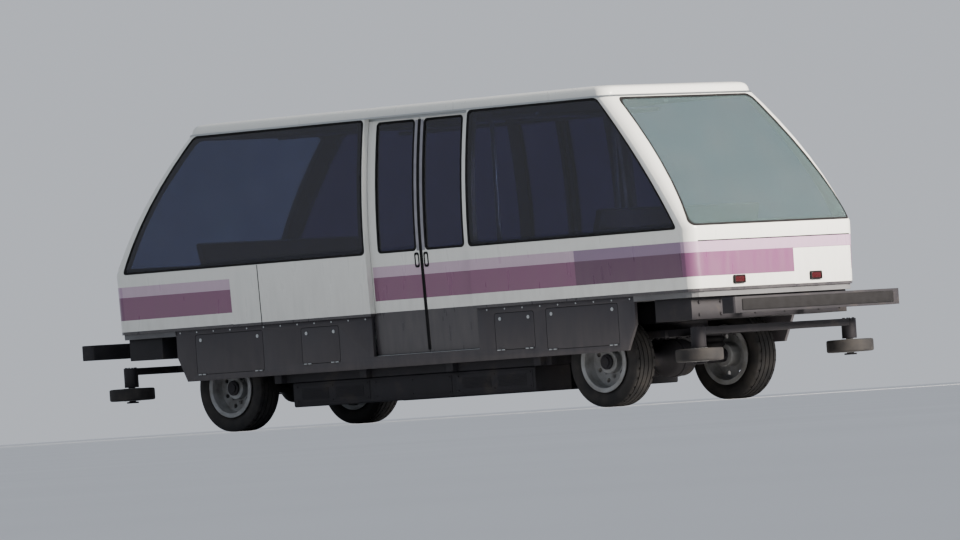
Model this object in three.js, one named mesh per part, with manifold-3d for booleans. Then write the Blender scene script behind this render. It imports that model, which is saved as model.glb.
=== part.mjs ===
// A small automatic passenger car for a concrete guideway: a glazed plastic body on a drop-centre steel frame,
// carried by two rubber-tyred steering trucks. Millimetres, +X to the front, +Y to the left, +Z up, and the
// origin on the running surface under the middle of the car.
import * as THREE from "three";
import { ConvexGeometry } from "three/addons/geometries/ConvexGeometry.js";
import { mergeVertices } from "three/addons/utils/BufferGeometryUtils.js";
import Module from "manifold-3d";

// Driving dimensions of the body.
const BODY_LENGTH = 6700;
const ROOF_LENGTH = 4740;
const BELT_WIDTH = 2040;
const BOTTOM_WIDTH = 2000;
const ROOF_WIDTH = 1820;
const BODY_BOTTOM = 886;
const BELT = 1400;
const ROOF_EDGE = 2600;
const CROWN = 2640;
const END_BULGE = 80;
const SIDE_BULGE = 35;
const CORNER_RADIUS = 120;
const WALL = 55;
const ROOF_THICKNESS = 30;
const ROOF_JOINT = 2530;
const SEAM = 0.4;
const FAR = 5000;

// Heights at which the outside is drawn from the belt up, since the walls and the ends bow out between belt and roof.
const BODY_ROWS = [BELT, 1700, 2000, 2300];

// Doorway: its two edges, the line where the leaves meet, and how far each leaf slides.
const DOOR_REAR_EDGE = -310;
const DOOR_FRONT_EDGE = 870;
const DOOR_MEETING = 277;
const DOOR_LAP = 18;
const LEAF_GAP = 3;
const LEAF_INSET = 61;
const LEAF_THICKNESS = 40;
const LEAF_BOTTOM = 556;
const LEAF_TOP = 2510;
const LEAF_TRAVEL = 570;

// Floors, frame and skirts.
const FLOOR_TOP = 550;
const FLOOR_THICKNESS = 50;
const RISER = 1600;
const RISER_THICKNESS = 30;
const PLATFORM_BOTTOM = 842;
const SKIRT_INSIDE = 945;
const SKIRT_THICKNESS = 30;
const SKIRT_BOTTOM = 450;
const SKIRT_END = 2650;
const SILL_Y = 380;
const SILL_WIDTH = 100;
const MID_FRAME_BOTTOM = 380;
const END_FRAME_BOTTOM = 660;
const HEADSTOCK = [2850, 3250];
const BUMPER_FACE = 3780;

// Running gear: both trucks are alike and turned end for end.
const TRUCK_X = 2160;
const TYRE_RADIUS = 370;
const TYRE_WIDTH = 250;
const TYRE_Y = 745;
const GUIDE_X = 1120;
const GUIDE_Y = 925;
const GUIDE_RADIUS = 195;
const RING_RADIUS = 300;
const RING_TOP = 640;

const wasm = await Module();
wasm.setup();

const ENDS = [
  { name: "front", sign: 1 },
  { name: "rear", sign: -1 },
];
const SIDES = [
  { name: "left", sign: 1 },
  { name: "right", sign: -1 },
];

// Solids and meshes.
function solid(geometry) {
  const bare = new THREE.BufferGeometry();
  bare.setAttribute("position", (geometry.index ? geometry.toNonIndexed() : geometry).getAttribute("position"));
  const merged = mergeVertices(bare, 1e-3);
  const corners = [];
  const index = merged.index.array;
  for (let i = 0; i < index.length; i += 3) {
    const [a, b, c] = [index[i], index[i + 1], index[i + 2]];
    if (a !== b && b !== c && c !== a) corners.push(a, b, c);
  }
  return new wasm.Manifold(
    new wasm.Mesh({
      numProp: 3,
      vertProperties: new Float32Array(merged.attributes.position.array),
      triVerts: new Uint32Array(corners),
    }),
  );
}

function union(parts) {
  return parts.reduce((whole, part) => whole.add(part));
}

function named(name, body, material) {
  const shape = body.getMesh();
  const geometry = new THREE.BufferGeometry();
  geometry.setAttribute("position", new THREE.BufferAttribute(new Float32Array(shape.vertProperties), 3));
  geometry.setIndex(new THREE.BufferAttribute(new Uint32Array(shape.triVerts), 1));
  geometry.computeVertexNormals();
  const mesh = new THREE.Mesh(geometry, material);
  mesh.name = name;
  return mesh;
}

// A box from its low to its high corner along each axis.
function box([x0, x1], [y0, y1], [z0, z1]) {
  const geometry = new THREE.BoxGeometry(x1 - x0, y1 - y0, z1 - z0);
  geometry.translate((x0 + x1) / 2, (y0 + y1) / 2, (z0 + z1) / 2);
  return solid(geometry);
}

// An outline with every corner rounded to the same radius.
function rounded(points, radius) {
  const shape = new THREE.Shape();
  points.forEach((corner, i) => {
    const here = new THREE.Vector2(...corner);
    const before = new THREE.Vector2(...points[(i + points.length - 1) % points.length]);
    const after = new THREE.Vector2(...points[(i + 1) % points.length]);
    const start = before.sub(here).setLength(radius).add(here);
    const end = after.sub(here).setLength(radius).add(here);
    if (i === 0) shape.moveTo(start.x, start.y);
    else shape.lineTo(start.x, start.y);
    shape.quadraticCurveTo(here.x, here.y, end.x, end.y);
  });
  shape.closePath();
  return shape;
}

function mirrored(points, sign) {
  const placed = points.map(([u, v]) => [sign * u, v]);
  return sign > 0 ? placed : placed.reverse();
}

function plain(points) {
  return new THREE.Shape(points.map(([u, v]) => new THREE.Vector2(u, v)));
}

function extruded(shape, length) {
  return new THREE.ExtrudeGeometry(shape, { depth: length, bevelEnabled: false, curveSegments: 3 });
}

// Prisms: an outline in X and Z run along Y, in Y and Z run along X, and in X and Y run along Z.
function prismY(shape, [y0, y1]) {
  const geometry = extruded(shape, y1 - y0);
  geometry.rotateX(Math.PI / 2);
  geometry.translate(0, y1, 0);
  return solid(geometry);
}

function prismX(shape, [x0, x1]) {
  const geometry = extruded(shape, x1 - x0);
  const turn = new THREE.Matrix4().makeBasis(
    new THREE.Vector3(0, 1, 0),
    new THREE.Vector3(0, 0, 1),
    new THREE.Vector3(1, 0, 0),
  );
  geometry.applyMatrix4(turn);
  geometry.translate(x0, 0, 0);
  return solid(geometry);
}

function prismZ(shape, [z0, z1]) {
  const geometry = extruded(shape, z1 - z0);
  geometry.translate(0, 0, z0);
  return solid(geometry);
}

// A round bar along the given axis through the point, from low to high along that axis.
function bar(axis, [x, y, z], [low, high], radius, segments = 24) {
  const geometry = new THREE.CylinderGeometry(radius, radius, high - low, segments);
  geometry.translate(0, (low + high) / 2, 0);
  if (axis === "x") geometry.rotateZ(-Math.PI / 2);
  if (axis === "z") geometry.rotateX(Math.PI / 2);
  geometry.translate(x, y, z);
  return solid(geometry);
}

// A turned piece: the profile lists radius and place along the axis. A flat of the facets faces down.
function turned(profile, segments, axis) {
  const points = profile.map(([radius, along]) => new THREE.Vector2(radius, along));
  const geometry = new THREE.LatheGeometry(points, segments, Math.PI / segments);
  if (axis === "z") geometry.rotateX(Math.PI / 2);
  return solid(geometry);
}

// The share of the way up from the belt to the roof edge, and the bow there: none at either, and full half way.
function rise(z) {
  return (z - BELT) / (ROOF_EDGE - BELT);
}

function bow(z) {
  return 4 * rise(z) * (1 - rise(z));
}

// Outside of the body: half width and half length at a height.
function sideReach(z) {
  const below = (z - BODY_BOTTOM) / (BELT - BODY_BOTTOM);
  if (z < BELT) return (BOTTOM_WIDTH + (BELT_WIDTH - BOTTOM_WIDTH) * below) / 2;
  return (BELT_WIDTH + (ROOF_WIDTH - BELT_WIDTH) * rise(z)) / 2 + SIDE_BULGE * bow(z);
}

function endReach(z) {
  if (z < BELT) return BODY_LENGTH / 2;
  return (BODY_LENGTH + (ROOF_LENGTH - BODY_LENGTH) * rise(z)) / 2 + END_BULGE * bow(z);
}

// The end slopes back, so a wall's thickness measured along X is longer there.
const SLOPE_STRETCH = Math.hypot(1, (BODY_LENGTH - ROOF_LENGTH) / 2 / (ROOF_EDGE - BELT));

function ring(z, halfLength, halfWidth, radius) {
  const points = [];
  const steps = 3;
  for (const x of [1, -1]) {
    for (const y of [1, -1]) {
      for (let i = 0; i <= steps; i += 1) {
        const angle = (i / steps) * (Math.PI / 2);
        const along = halfLength - radius + radius * Math.cos(angle);
        const across = halfWidth - radius + radius * Math.sin(angle);
        points.push(new THREE.Vector3(x * along, y * across, z));
      }
    }
  }
  return points;
}

// The roof's rounded edge: how far below the crown, and how far in from the shoulder.
const ROOF_ROWS = [
  [90, 0],
  [50, 10],
  [26, 32],
  [10, 180],
  [0, 600],
];

// The body's convex outside, brought in by an inset, open-ended below when a lower bottom is given.
function hull(inset, roofInset = inset, bottom = BODY_BOTTOM) {
  const points = [];
  const radius = Math.max(CORNER_RADIUS - inset, 20);
  const put = (z, inboard, reachAt) => {
    const stretch = z > BELT ? SLOPE_STRETCH : 1;
    points.push(
      ...ring(z, endReach(reachAt) - inset * stretch - inboard, sideReach(reachAt) - inset - inboard, radius),
    );
  };
  const shoulder = CROWN - ROOF_ROWS[0][0] - roofInset;
  for (const z of [bottom, ...BODY_ROWS]) put(z, 0, z);
  for (const [drop, inboard] of ROOF_ROWS) put(CROWN - roofInset - drop, inboard, shoulder);
  return solid(new ConvexGeometry(points));
}

const OUTSIDE = hull(0);
const INSIDE = hull(WALL, ROOF_THICKNESS, BODY_BOTTOM - 300);
const FITTED_INSIDE = hull(WALL + SEAM, ROOF_THICKNESS + SEAM, BODY_BOTTOM - 300);
const SHELL = OUTSIDE.subtract(INSIDE);

// Materials.
function finish(color, roughness, metalness) {
  return new THREE.MeshStandardMaterial({ color, roughness, metalness });
}
const WHITE = finish(0xdedfd8, 0.35, 0);
const DARK_STEEL = finish(0x2a2a30, 0.6, 0.4);
const SKIRT_GREY = finish(0x2c2b33, 0.55, 0);
const FLOOR_GREY = finish(0x55565a, 0.8, 0);
const GLASS = new THREE.MeshStandardMaterial({ color: 0x2b3440, roughness: 0.08, transparent: true, opacity: 0.6 });
const SEAT = finish(0x9a4a2a, 0.5, 0);
const STAINLESS = finish(0xb8bcc0, 0.3, 1);
const RUBBER = finish(0x1b1b1c, 0.9, 0);
const WHEEL_STEEL = finish(0x8a8c8e, 0.5, 0.6);

const car = new THREE.Group();

// Side windows: the glass runs from the door's edge to the sloping pillar, which is narrower at the top.
const PILLAR_LOW = 150;
const PILLAR_HIGH = 125;
const GLASS_LOW = BELT + 4;
const GLASS_HIGH = 2520;
const GLASS_INSET = 2;
const GLASS_THICKNESS = 8;
const GLASS_LAP = 25;
const POST = 70;
const DOOR_STRIP = 15;

const SIDE_GLASS_RADIUS = 45;

function doorEdge(end) {
  return end.sign > 0 ? DOOR_FRONT_EDGE : -DOOR_REAR_EDGE;
}

function sideWindow(end, grow, atDoor) {
  const low = GLASS_LOW - grow;
  const high = GLASS_HIGH + grow;
  const inner = doorEdge(end) + atDoor - grow;
  const pillar = [low, ...BODY_ROWS.slice(1), high].map((z) => [
    endReach(z) - PILLAR_LOW + (PILLAR_LOW - PILLAR_HIGH) * rise(z) + grow,
    z,
  ]);
  return rounded(mirrored([[inner, low], ...pillar, [inner, high]], end.sign), SIDE_GLASS_RADIUS);
}

// The windscreen's outline in Y and Z.
const SCREEN_LOW = 1425;
const SCREEN_HIGH = 2515;
const SCREEN_HALF_LOW = 978;
const SCREEN_HALF_HIGH = 805;
const SCREEN_RADIUS = 60;

function windscreen(grow) {
  const low = SCREEN_LOW - grow;
  const high = SCREEN_HIGH + grow;
  const points = [
    [-SCREEN_HALF_LOW - grow, low],
    [SCREEN_HALF_LOW + grow, low],
    [SCREEN_HALF_HIGH + grow, high],
    [-SCREEN_HALF_HIGH - grow, high],
  ];
  return rounded(points, SCREEN_RADIUS);
}

const BEYOND = -20;
const BELOW_SKIRTS = 600;
const GLASS_LAYER = hull(GLASS_INSET).subtract(hull(GLASS_INSET + GLASS_THICKNESS));
const REBATE_LAYER = hull(BEYOND, BEYOND, BELOW_SKIRTS).subtract(hull(GLASS_INSET + GLASS_THICKNESS + SEAM));

function span(sign, near, far) {
  return sign > 0 ? [near, far] : [-far, -near];
}

// The seam between the side walls and the end caps follows the sloping pillar, just behind the rounded corner.
const CAP_DEPTH = 85;
const SEAM_LOW = BODY_BOTTOM - 50;
const SEAM_HIGH = ROOF_JOINT - SEAM / 2;
function sideOfSeam(end, shift, far) {
  const seam = [SEAM_LOW, ...BODY_ROWS, SEAM_HIGH].map((z) => [endReach(z) - CAP_DEPTH + shift, z]);
  return plain(mirrored([[far, SEAM_LOW], ...seam, [far, SEAM_HIGH]], end.sign));
}

for (const end of ENDS) {
  const glassPrism = sideWindow(end, 0, DOOR_STRIP);
  const rebatePrism = sideWindow(end, SEAM, DOOR_STRIP);
  const openingPrism = sideWindow(end, -GLASS_LAP, POST - GLASS_LAP);
  for (const side of SIDES) {
    const half = span(side.sign, 0, FAR);
    const wall = SHELL.intersect(prismY(sideOfSeam(end, -SEAM / 2, doorEdge(end)), half))
      .subtract(prismY(openingPrism, half))
      .subtract(REBATE_LAYER.intersect(prismY(rebatePrism, half)));
    car.add(named(`side_wall_${end.name}_${side.name}`, wall, WHITE));
    const pane = GLASS_LAYER.intersect(prismY(glassPrism, half));
    car.add(named(`side_glass_${end.name}_${side.name}`, pane, GLASS));
  }
}

// End caps: the lower end panel, both sloping pillars and the header, with two lamp housings.
const LAMP_Y = 470;
const LAMP_Z = 970;
const LAMP_SIZE = [140, 70];
const LAMP_FACE = 3372;

for (const end of ENDS) {
  const along = span(end.sign, 0, FAR);
  let cap = SHELL.intersect(prismY(sideOfSeam(end, SEAM / 2, FAR), [-FAR, FAR]))
    .subtract(prismX(windscreen(-GLASS_LAP), along))
    .subtract(REBATE_LAYER.intersect(prismX(windscreen(SEAM), along)));
  for (const side of SIDES) {
    const [width, height] = LAMP_SIZE;
    const y = side.sign * LAMP_Y;
    const outline = rounded(
      [
        [y - width / 2, LAMP_Z - height / 2],
        [y + width / 2, LAMP_Z - height / 2],
        [y + width / 2, LAMP_Z + height / 2],
        [y - width / 2, LAMP_Z + height / 2],
      ],
      15,
    );
    cap = cap.add(prismX(outline, span(end.sign, BODY_LENGTH / 2 - WALL / 2, LAMP_FACE)));
  }
  car.add(named(`end_cap_${end.name}`, cap, WHITE));
  const screen = GLASS_LAYER.intersect(prismX(windscreen(0), along));
  car.add(named(`windscreen_${end.name}`, screen, GLASS));
}

// Roof with the two door rails under its edges.
const RAIL_WIDTH = 52;
const RAIL_SPARE = 60;
const RAIL_REACH = [DOOR_REAR_EDGE - LEAF_TRAVEL - RAIL_SPARE, DOOR_FRONT_EDGE + LEAF_TRAVEL + RAIL_SPARE];
const roofParts = [SHELL.intersect(box([-FAR, FAR], [-FAR, FAR], [ROOF_JOINT + SEAM / 2, FAR]))];
for (const side of SIDES) {
  const outer = sideReach(LEAF_TOP) - LEAF_INSET;
  const rail = box(RAIL_REACH, span(side.sign, outer - RAIL_WIDTH, outer), [LEAF_TOP + SEAM, CROWN]);
  roofParts.push(rail.intersect(OUTSIDE));
}
car.add(named("roof", union(roofParts), WHITE));

// Sliding door leaves, bent like the wall that they run behind, and their panes.
const OUTER_STILE = 100;
const MEETING_STILE = 55;
const LEAF_RAIL = 22;
const PANE_INSET = 3;

function leafProfile(inset, thickness) {
  const heights = [LEAF_BOTTOM, ...BODY_ROWS, LEAF_TOP];
  const outer = heights.map((z) => [sideReach(z) - LEAF_INSET - inset, z]);
  const inner = heights.map((z) => [sideReach(z) - LEAF_INSET - inset - thickness, z]).reverse();
  return outer.concat(inner);
}

for (const end of ENDS) {
  const meeting = DOOR_MEETING + end.sign * LEAF_GAP;
  const edge = end.sign > 0 ? DOOR_FRONT_EDGE + DOOR_LAP : DOOR_REAR_EDGE - DOOR_LAP;
  const reach = end.sign > 0 ? [meeting, edge] : [edge, meeting];
  const clear =
    end.sign > 0
      ? [meeting + MEETING_STILE, edge - DOOR_LAP - OUTER_STILE]
      : [edge + DOOR_LAP + OUTER_STILE, meeting - MEETING_STILE];
  const windowLow = BELT + 10;
  const windowHigh = LEAF_TOP - LEAF_RAIL;
  for (const side of SIDES) {
    const across = span(side.sign, 0, FAR);
    const leaf = prismX(plain(mirrored(leafProfile(0, LEAF_THICKNESS), side.sign)), reach).subtract(
      box(clear, across, [windowLow, windowHigh]),
    );
    car.add(named(`door_leaf_${end.name}_${side.name}`, leaf, WHITE));
    const slab = prismX(plain(mirrored(leafProfile(PANE_INSET, GLASS_THICKNESS), side.sign)), reach);
    const pane = slab.intersect(
      box([clear[0] + SEAM, clear[1] - SEAM], across, [windowLow + SEAM, windowHigh - SEAM]),
    );
    car.add(named(`door_glass_${end.name}_${side.name}`, pane, GLASS));
  }
}

// Floor: a low middle for standing, and at each end a riser with a raised platform over the truck.
const PLATFORM_TOP = BODY_BOTTOM - SEAM;
const PLATFORM_END = BODY_LENGTH / 2 - 15;
const PLATFORM_HALF = 985;
const inSkirt = [-SKIRT_INSIDE + SEAM, SKIRT_INSIDE - SEAM];
const RISER_FACE = RISER + RISER_THICKNESS;
car.add(
  named("floor_middle", box([-RISER_FACE, RISER_FACE], inSkirt, [FLOOR_TOP - FLOOR_THICKNESS, FLOOR_TOP]), FLOOR_GREY),
);
const WITHIN_BODY = hull(15, 15, FLOOR_TOP - 100);
for (const end of ENDS) {
  const outerPlatform = box(
    span(end.sign, SKIRT_END + SEAM, PLATFORM_END),
    [-PLATFORM_HALF, PLATFORM_HALF],
    [PLATFORM_BOTTOM, PLATFORM_TOP],
  );
  const platform = union([
    box(span(end.sign, RISER, RISER_FACE), inSkirt, [FLOOR_TOP + SEAM, PLATFORM_TOP]),
    box(span(end.sign, RISER, SKIRT_END + SEAM), inSkirt, [PLATFORM_BOTTOM, PLATFORM_TOP]),
    outerPlatform.intersect(WITHIN_BODY),
  ]);
  car.add(named(`platform_${end.name}`, platform, FLOOR_GREY));
}

// Centre frame under the low floor: two inner and two outer sills on cross members that reach to the skirts.
const MID_FRAME_TOP = FLOOR_TOP - FLOOR_THICKNESS - SEAM;
const END_FRAME_TOP = PLATFORM_BOTTOM - SEAM;
const NECK = [RISER_FACE + 2, RISER_FACE + 102];
const OUTER_SILL = [780, 880];
const CROSS_MEMBERS = [-1500, -500, 500, 1500];
const CROSS_HALF = 40;
const innerSill = [SILL_Y - SILL_WIDTH / 2, SILL_Y + SILL_WIDTH / 2];
const midHeight = [MID_FRAME_BOTTOM, MID_FRAME_TOP];
const centreParts = CROSS_MEMBERS.map((x) => box([x - CROSS_HALF, x + CROSS_HALF], inSkirt, midHeight));
for (const side of SIDES) {
  centreParts.push(
    box([-NECK[0] + SEAM, NECK[0] - SEAM], span(side.sign, ...innerSill), midHeight),
    box([-RISER, RISER], span(side.sign, ...OUTER_SILL), midHeight),
  );
}
car.add(named("centre_frame", union(centreParts), DARK_STEEL));

// End frames: necks up from the centre frame, sills over the truck, a bolster with its ring, and the headstock.
const BOLSTER_THICKNESS = 50;
for (const end of ENDS) {
  const parts = [
    box(span(end.sign, ...HEADSTOCK), [-950, 950], [END_FRAME_BOTTOM, END_FRAME_TOP]),
    box(
      span(end.sign, TRUCK_X - RING_RADIUS, TRUCK_X + RING_RADIUS),
      [-innerSill[1], innerSill[1]],
      [END_FRAME_BOTTOM, END_FRAME_BOTTOM + BOLSTER_THICKNESS],
    ),
    bar("z", [end.sign * TRUCK_X, 0, 0], [RING_TOP, END_FRAME_BOTTOM + 10], RING_RADIUS, 32),
  ];
  for (const side of SIDES) {
    const across = span(side.sign, ...innerSill);
    parts.push(
      box(span(end.sign, ...NECK), across, [MID_FRAME_BOTTOM, END_FRAME_TOP]),
      box(span(end.sign, NECK[0], HEADSTOCK[1]), across, [END_FRAME_BOTTOM, END_FRAME_TOP]),
    );
  }
  car.add(named(`end_frame_${end.name}`, union(parts), DARK_STEEL));
}

// Side skirts with slanted ends, notched under the doorway.
const SKIRT_RAKE = 105;
for (const side of SIDES) {
  const outline = plain([
    [-SKIRT_END + SKIRT_RAKE, SKIRT_BOTTOM],
    [SKIRT_END - SKIRT_RAKE, SKIRT_BOTTOM],
    [SKIRT_END, END_FRAME_BOTTOM],
    [SKIRT_END, PLATFORM_TOP],
    [-SKIRT_END, PLATFORM_TOP],
    [-SKIRT_END, END_FRAME_BOTTOM],
  ]);
  const across = span(side.sign, SKIRT_INSIDE, SKIRT_INSIDE + SKIRT_THICKNESS);
  const doorway = box(
    [DOOR_REAR_EDGE - DOOR_LAP, DOOR_FRONT_EDGE + DOOR_LAP],
    [-FAR, FAR],
    [FLOOR_TOP, FAR],
  );
  car.add(named(`skirt_${side.name}`, prismY(outline, across).subtract(doorway), SKIRT_GREY));
}

// Equipment cases hung under the low floor, between the inner and the outer sills.
const CASE_HALF = 1400;
const CASE_Y = [440, 870];
const CASE_BOTTOM = 170;
const CASE_TOP = MID_FRAME_BOTTOM - SEAM;
const CASE_RADIUS = 20;
for (const side of SIDES) {
  const [near, far] = CASE_Y;
  const corners = [
    [near, CASE_BOTTOM],
    [far, CASE_BOTTOM],
    [far, CASE_TOP],
    [near, CASE_TOP],
  ];
  const outline = rounded(mirrored(corners, side.sign), CASE_RADIUS);
  car.add(named(`equipment_case_${side.name}`, prismX(outline, [-CASE_HALF, CASE_HALF]), DARK_STEEL));
}

// Seat benches across both ends, in one moulding with the housing under the windscreen. Columns: X and Z.
const BENCH_OUTLINE = [
  [1585, BODY_BOTTOM],
  [3285, BODY_BOTTOM],
  [3285, 1345],
  [3260, 1370],
  [2290, 1380],
  [2345, 1600],
  [2320, 1618],
  [2290, 1605],
  [2110, 1010],
  [2075, 972],
  [1650, 995],
  [1600, 988],
  [1585, 960],
];
for (const end of ENDS) {
  const outline = plain(mirrored(BENCH_OUTLINE, end.sign));
  const bench = prismY(outline, [-FAR, FAR]).intersect(FITTED_INSIDE);
  car.add(named(`end_bench_${end.name}`, bench, SEAT));
}

// Handrails: four poles beside the doorways, joined under the ceiling.
const POLE_RADIUS = 17.5;
const POLE_SEGMENTS = 8;
const POLE_Y = 740;
const POLE_BESIDE_DOOR = 110;
const POLE_X = [DOOR_REAR_EDGE - POLE_BESIDE_DOOR, DOOR_FRONT_EDGE + POLE_BESIDE_DOOR];
const RAIL_Z = 2450;
const RAIL_HALF = 1500;
const railParts = [];
for (const x of POLE_X) {
  railParts.push(bar("y", [x, 0, RAIL_Z], [-POLE_Y, POLE_Y], POLE_RADIUS, POLE_SEGMENTS));
  for (const side of SIDES) {
    railParts.push(bar("z", [x, side.sign * POLE_Y, 0], [FLOOR_TOP + SEAM, CROWN], POLE_RADIUS, POLE_SEGMENTS));
  }
}
for (const side of SIDES) {
  railParts.push(bar("x", [0, side.sign * POLE_Y, RAIL_Z], [-RAIL_HALF, RAIL_HALF], POLE_RADIUS, POLE_SEGMENTS));
}
car.add(named("handrails", union(railParts).intersect(FITTED_INSIDE), STAINLESS));

// Bumpers: a full-width bar on two struts from the headstock.
const BUMPER_DEPTH = 150;
const BUMPER_HEIGHT = [690, 820];
const BUMPER_RADIUS = 35;
const STRUT_HALF = 45;
const STRUT_HEIGHT = [710, 800];
const STRUT_SINK = 30;
for (const end of ENDS) {
  const half = BELT_WIDTH / 2;
  const back = BUMPER_FACE - BUMPER_DEPTH;
  const corners = [
    [back, -half],
    [BUMPER_FACE, -half],
    [BUMPER_FACE, half],
    [back, half],
  ];
  const parts = [prismZ(rounded(mirrored(corners, end.sign), BUMPER_RADIUS), BUMPER_HEIGHT)];
  for (const side of SIDES) {
    const across = span(side.sign, SILL_Y - STRUT_HALF, SILL_Y + STRUT_HALF);
    parts.push(box(span(end.sign, HEADSTOCK[1] + SEAM, back + STRUT_SINK), across, STRUT_HEIGHT));
  }
  car.add(named(`bumper_${end.name}`, union(parts), DARK_STEEL));
}

// Trucks: turntable frame with guide arms, drive axle, motor, tyred wheels and guide wheels.
const WHEEL_SEGMENTS = 28;
const AXLE_SEGMENTS = 20;
const AXLE_FLAT = 1 / Math.cos(Math.PI / AXLE_SEGMENTS);
const SPINDLE_RADIUS = 45;
const HUB_CLEARANCE = 0.6;
const FRAME_HEIGHT = [540, 600];
const TURNTABLE_SEGMENTS = 32;
const TURNTABLE_PLATE = [330, 450];
const ARM_Y = [330, 410];
const ARM_START = 300;
const CROSS_BEAM_HALF = 45;
const SPRING_Y = 470;
const SPRING_RADIUS = 95;
const SPRING_SINK = 20;
const SPRING_SEAT_HALF = 110;
const SPRING_SEAT_Y = [440, 565];
const SPRING_SEAT_TOP = 575;
const AXLE_BEAM_RADIUS = 60;
const GUIDE_PIN = 30;
const GUIDE_WHEEL = [320, 430];
const GUIDE_BOSS = 62;
const GUIDE_WASHER = 52;
const GUIDE_PLAY = 6;
const GUIDE_PIN_END = GUIDE_WHEEL[0] - 20;
const ROUND_SEGMENTS = 20;

function truckFrame() {
  const [low, high] = FRAME_HEIGHT;
  const [halfLength, halfWidth] = TURNTABLE_PLATE;
  const parts = [
    bar("z", [0, 0, 0], [low, RING_TOP - SEAM], RING_RADIUS, TURNTABLE_SEGMENTS),
    box([-halfLength, halfLength], [-halfWidth, halfWidth], FRAME_HEIGHT),
    box([GUIDE_X - CROSS_BEAM_HALF, GUIDE_X + CROSS_BEAM_HALF], [-GUIDE_Y, GUIDE_Y], FRAME_HEIGHT),
  ];
  for (const side of SIDES) {
    const spring = [0, side.sign * SPRING_Y, 0];
    const pin = [GUIDE_X, side.sign * GUIDE_Y, 0];
    const springFoot = TYRE_RADIUS + AXLE_BEAM_RADIUS + SEAM;
    parts.push(
      box([ARM_START, GUIDE_X], span(side.sign, ...ARM_Y), FRAME_HEIGHT),
      bar("z", spring, [springFoot, low + SPRING_SINK], SPRING_RADIUS, ROUND_SEGMENTS),
      box([-SPRING_SEAT_HALF, SPRING_SEAT_HALF], span(side.sign, ...SPRING_SEAT_Y), [low, SPRING_SEAT_TOP]),
      bar("z", pin, [GUIDE_WHEEL[1] + GUIDE_PLAY, high], GUIDE_BOSS, ROUND_SEGMENTS),
      bar("z", pin, [GUIDE_PIN_END, low], GUIDE_PIN),
      bar("z", pin, [GUIDE_PIN_END, GUIDE_WHEEL[0] - GUIDE_PLAY], GUIDE_WASHER, ROUND_SEGMENTS),
    );
  }
  return union(parts);
}

// Columns: radius and place along the axle, from the right end to the middle.
function driveAxle() {
  const half = [
    [0, 832],
    [62, 832],
    [62, 812],
    [SPINDLE_RADIUS, 812],
    [SPINDLE_RADIUS, 600],
    [AXLE_BEAM_RADIUS * AXLE_FLAT, 600],
    [AXLE_BEAM_RADIUS * AXLE_FLAT, 190],
    [150 * AXLE_FLAT, 110],
  ];
  const profile = half.concat(half.map(([radius, along]) => [radius, -along]).reverse());
  return turned(profile.reverse(), AXLE_SEGMENTS, "y").translate([0, 0, TYRE_RADIUS]);
}

// A pressed disc wheel with hand holes through its disc. Columns: radius and place along the axle.
const HAND_HOLES = 8;
const HAND_HOLE_RADIUS = 19;
const HAND_HOLE_CIRCLE = 163;
function rim() {
  const bore = SPINDLE_RADIUS + HUB_CLEARANCE;
  const profile = [
    [bore, 610],
    [95, 610],
    [95, 725],
    [212, 735],
    [212, 628],
    [248, 628],
    [232, 648],
    [232, 842],
    [248, 862],
    [212, 862],
    [212, 752],
    [95, 745],
    [95, 806],
    [bore, 806],
    [bore, 610],
  ];
  const holes = [];
  for (let i = 0; i < HAND_HOLES; i += 1) {
    const angle = ((i + 0.5) / HAND_HOLES) * 2 * Math.PI;
    const place = [HAND_HOLE_CIRCLE * Math.cos(angle), 0, HAND_HOLE_CIRCLE * Math.sin(angle)];
    holes.push(bar("y", place, [TYRE_Y - 45, TYRE_Y + 25], HAND_HOLE_RADIUS, 10));
  }
  return turned(profile, WHEEL_SEGMENTS, "y").subtract(union(holes));
}

// Columns: radius and place along the axle.
function tyre() {
  const outer = TYRE_RADIUS / Math.cos(Math.PI / WHEEL_SEGMENTS);
  const low = TYRE_Y - TYRE_WIDTH / 2;
  const high = TYRE_Y + TYRE_WIDTH / 2;
  const profile = [
    [250, low + 22],
    [285, low + 4],
    [320, low],
    [outer - 12, low + 14],
    [outer, low + 34],
    [outer, high - 34],
    [outer - 12, high - 14],
    [320, high],
    [285, high - 4],
    [250, high - 22],
    [250, high - 33],
    [233, high - 33],
    [233, low + 33],
    [250, low + 33],
    [250, low + 22],
  ];
  return turned(profile, WHEEL_SEGMENTS, "y");
}

// A small solid wheel, dished between its hub and its rim. Columns: radius and height.
function guideWheel() {
  const bore = GUIDE_PIN + HUB_CLEARANCE;
  const [low, high] = GUIDE_WHEEL;
  const outer = GUIDE_RADIUS;
  const profile = [
    [bore, low],
    [75, low],
    [75, low + 30],
    [130, low + 30],
    [130, low],
    [outer, low + 8],
    [outer, high - 8],
    [130, high],
    [130, high - 30],
    [75, high - 30],
    [75, high],
    [bore, high],
    [bore, low],
  ];
  return turned(profile, WHEEL_SEGMENTS, "z");
}

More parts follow.
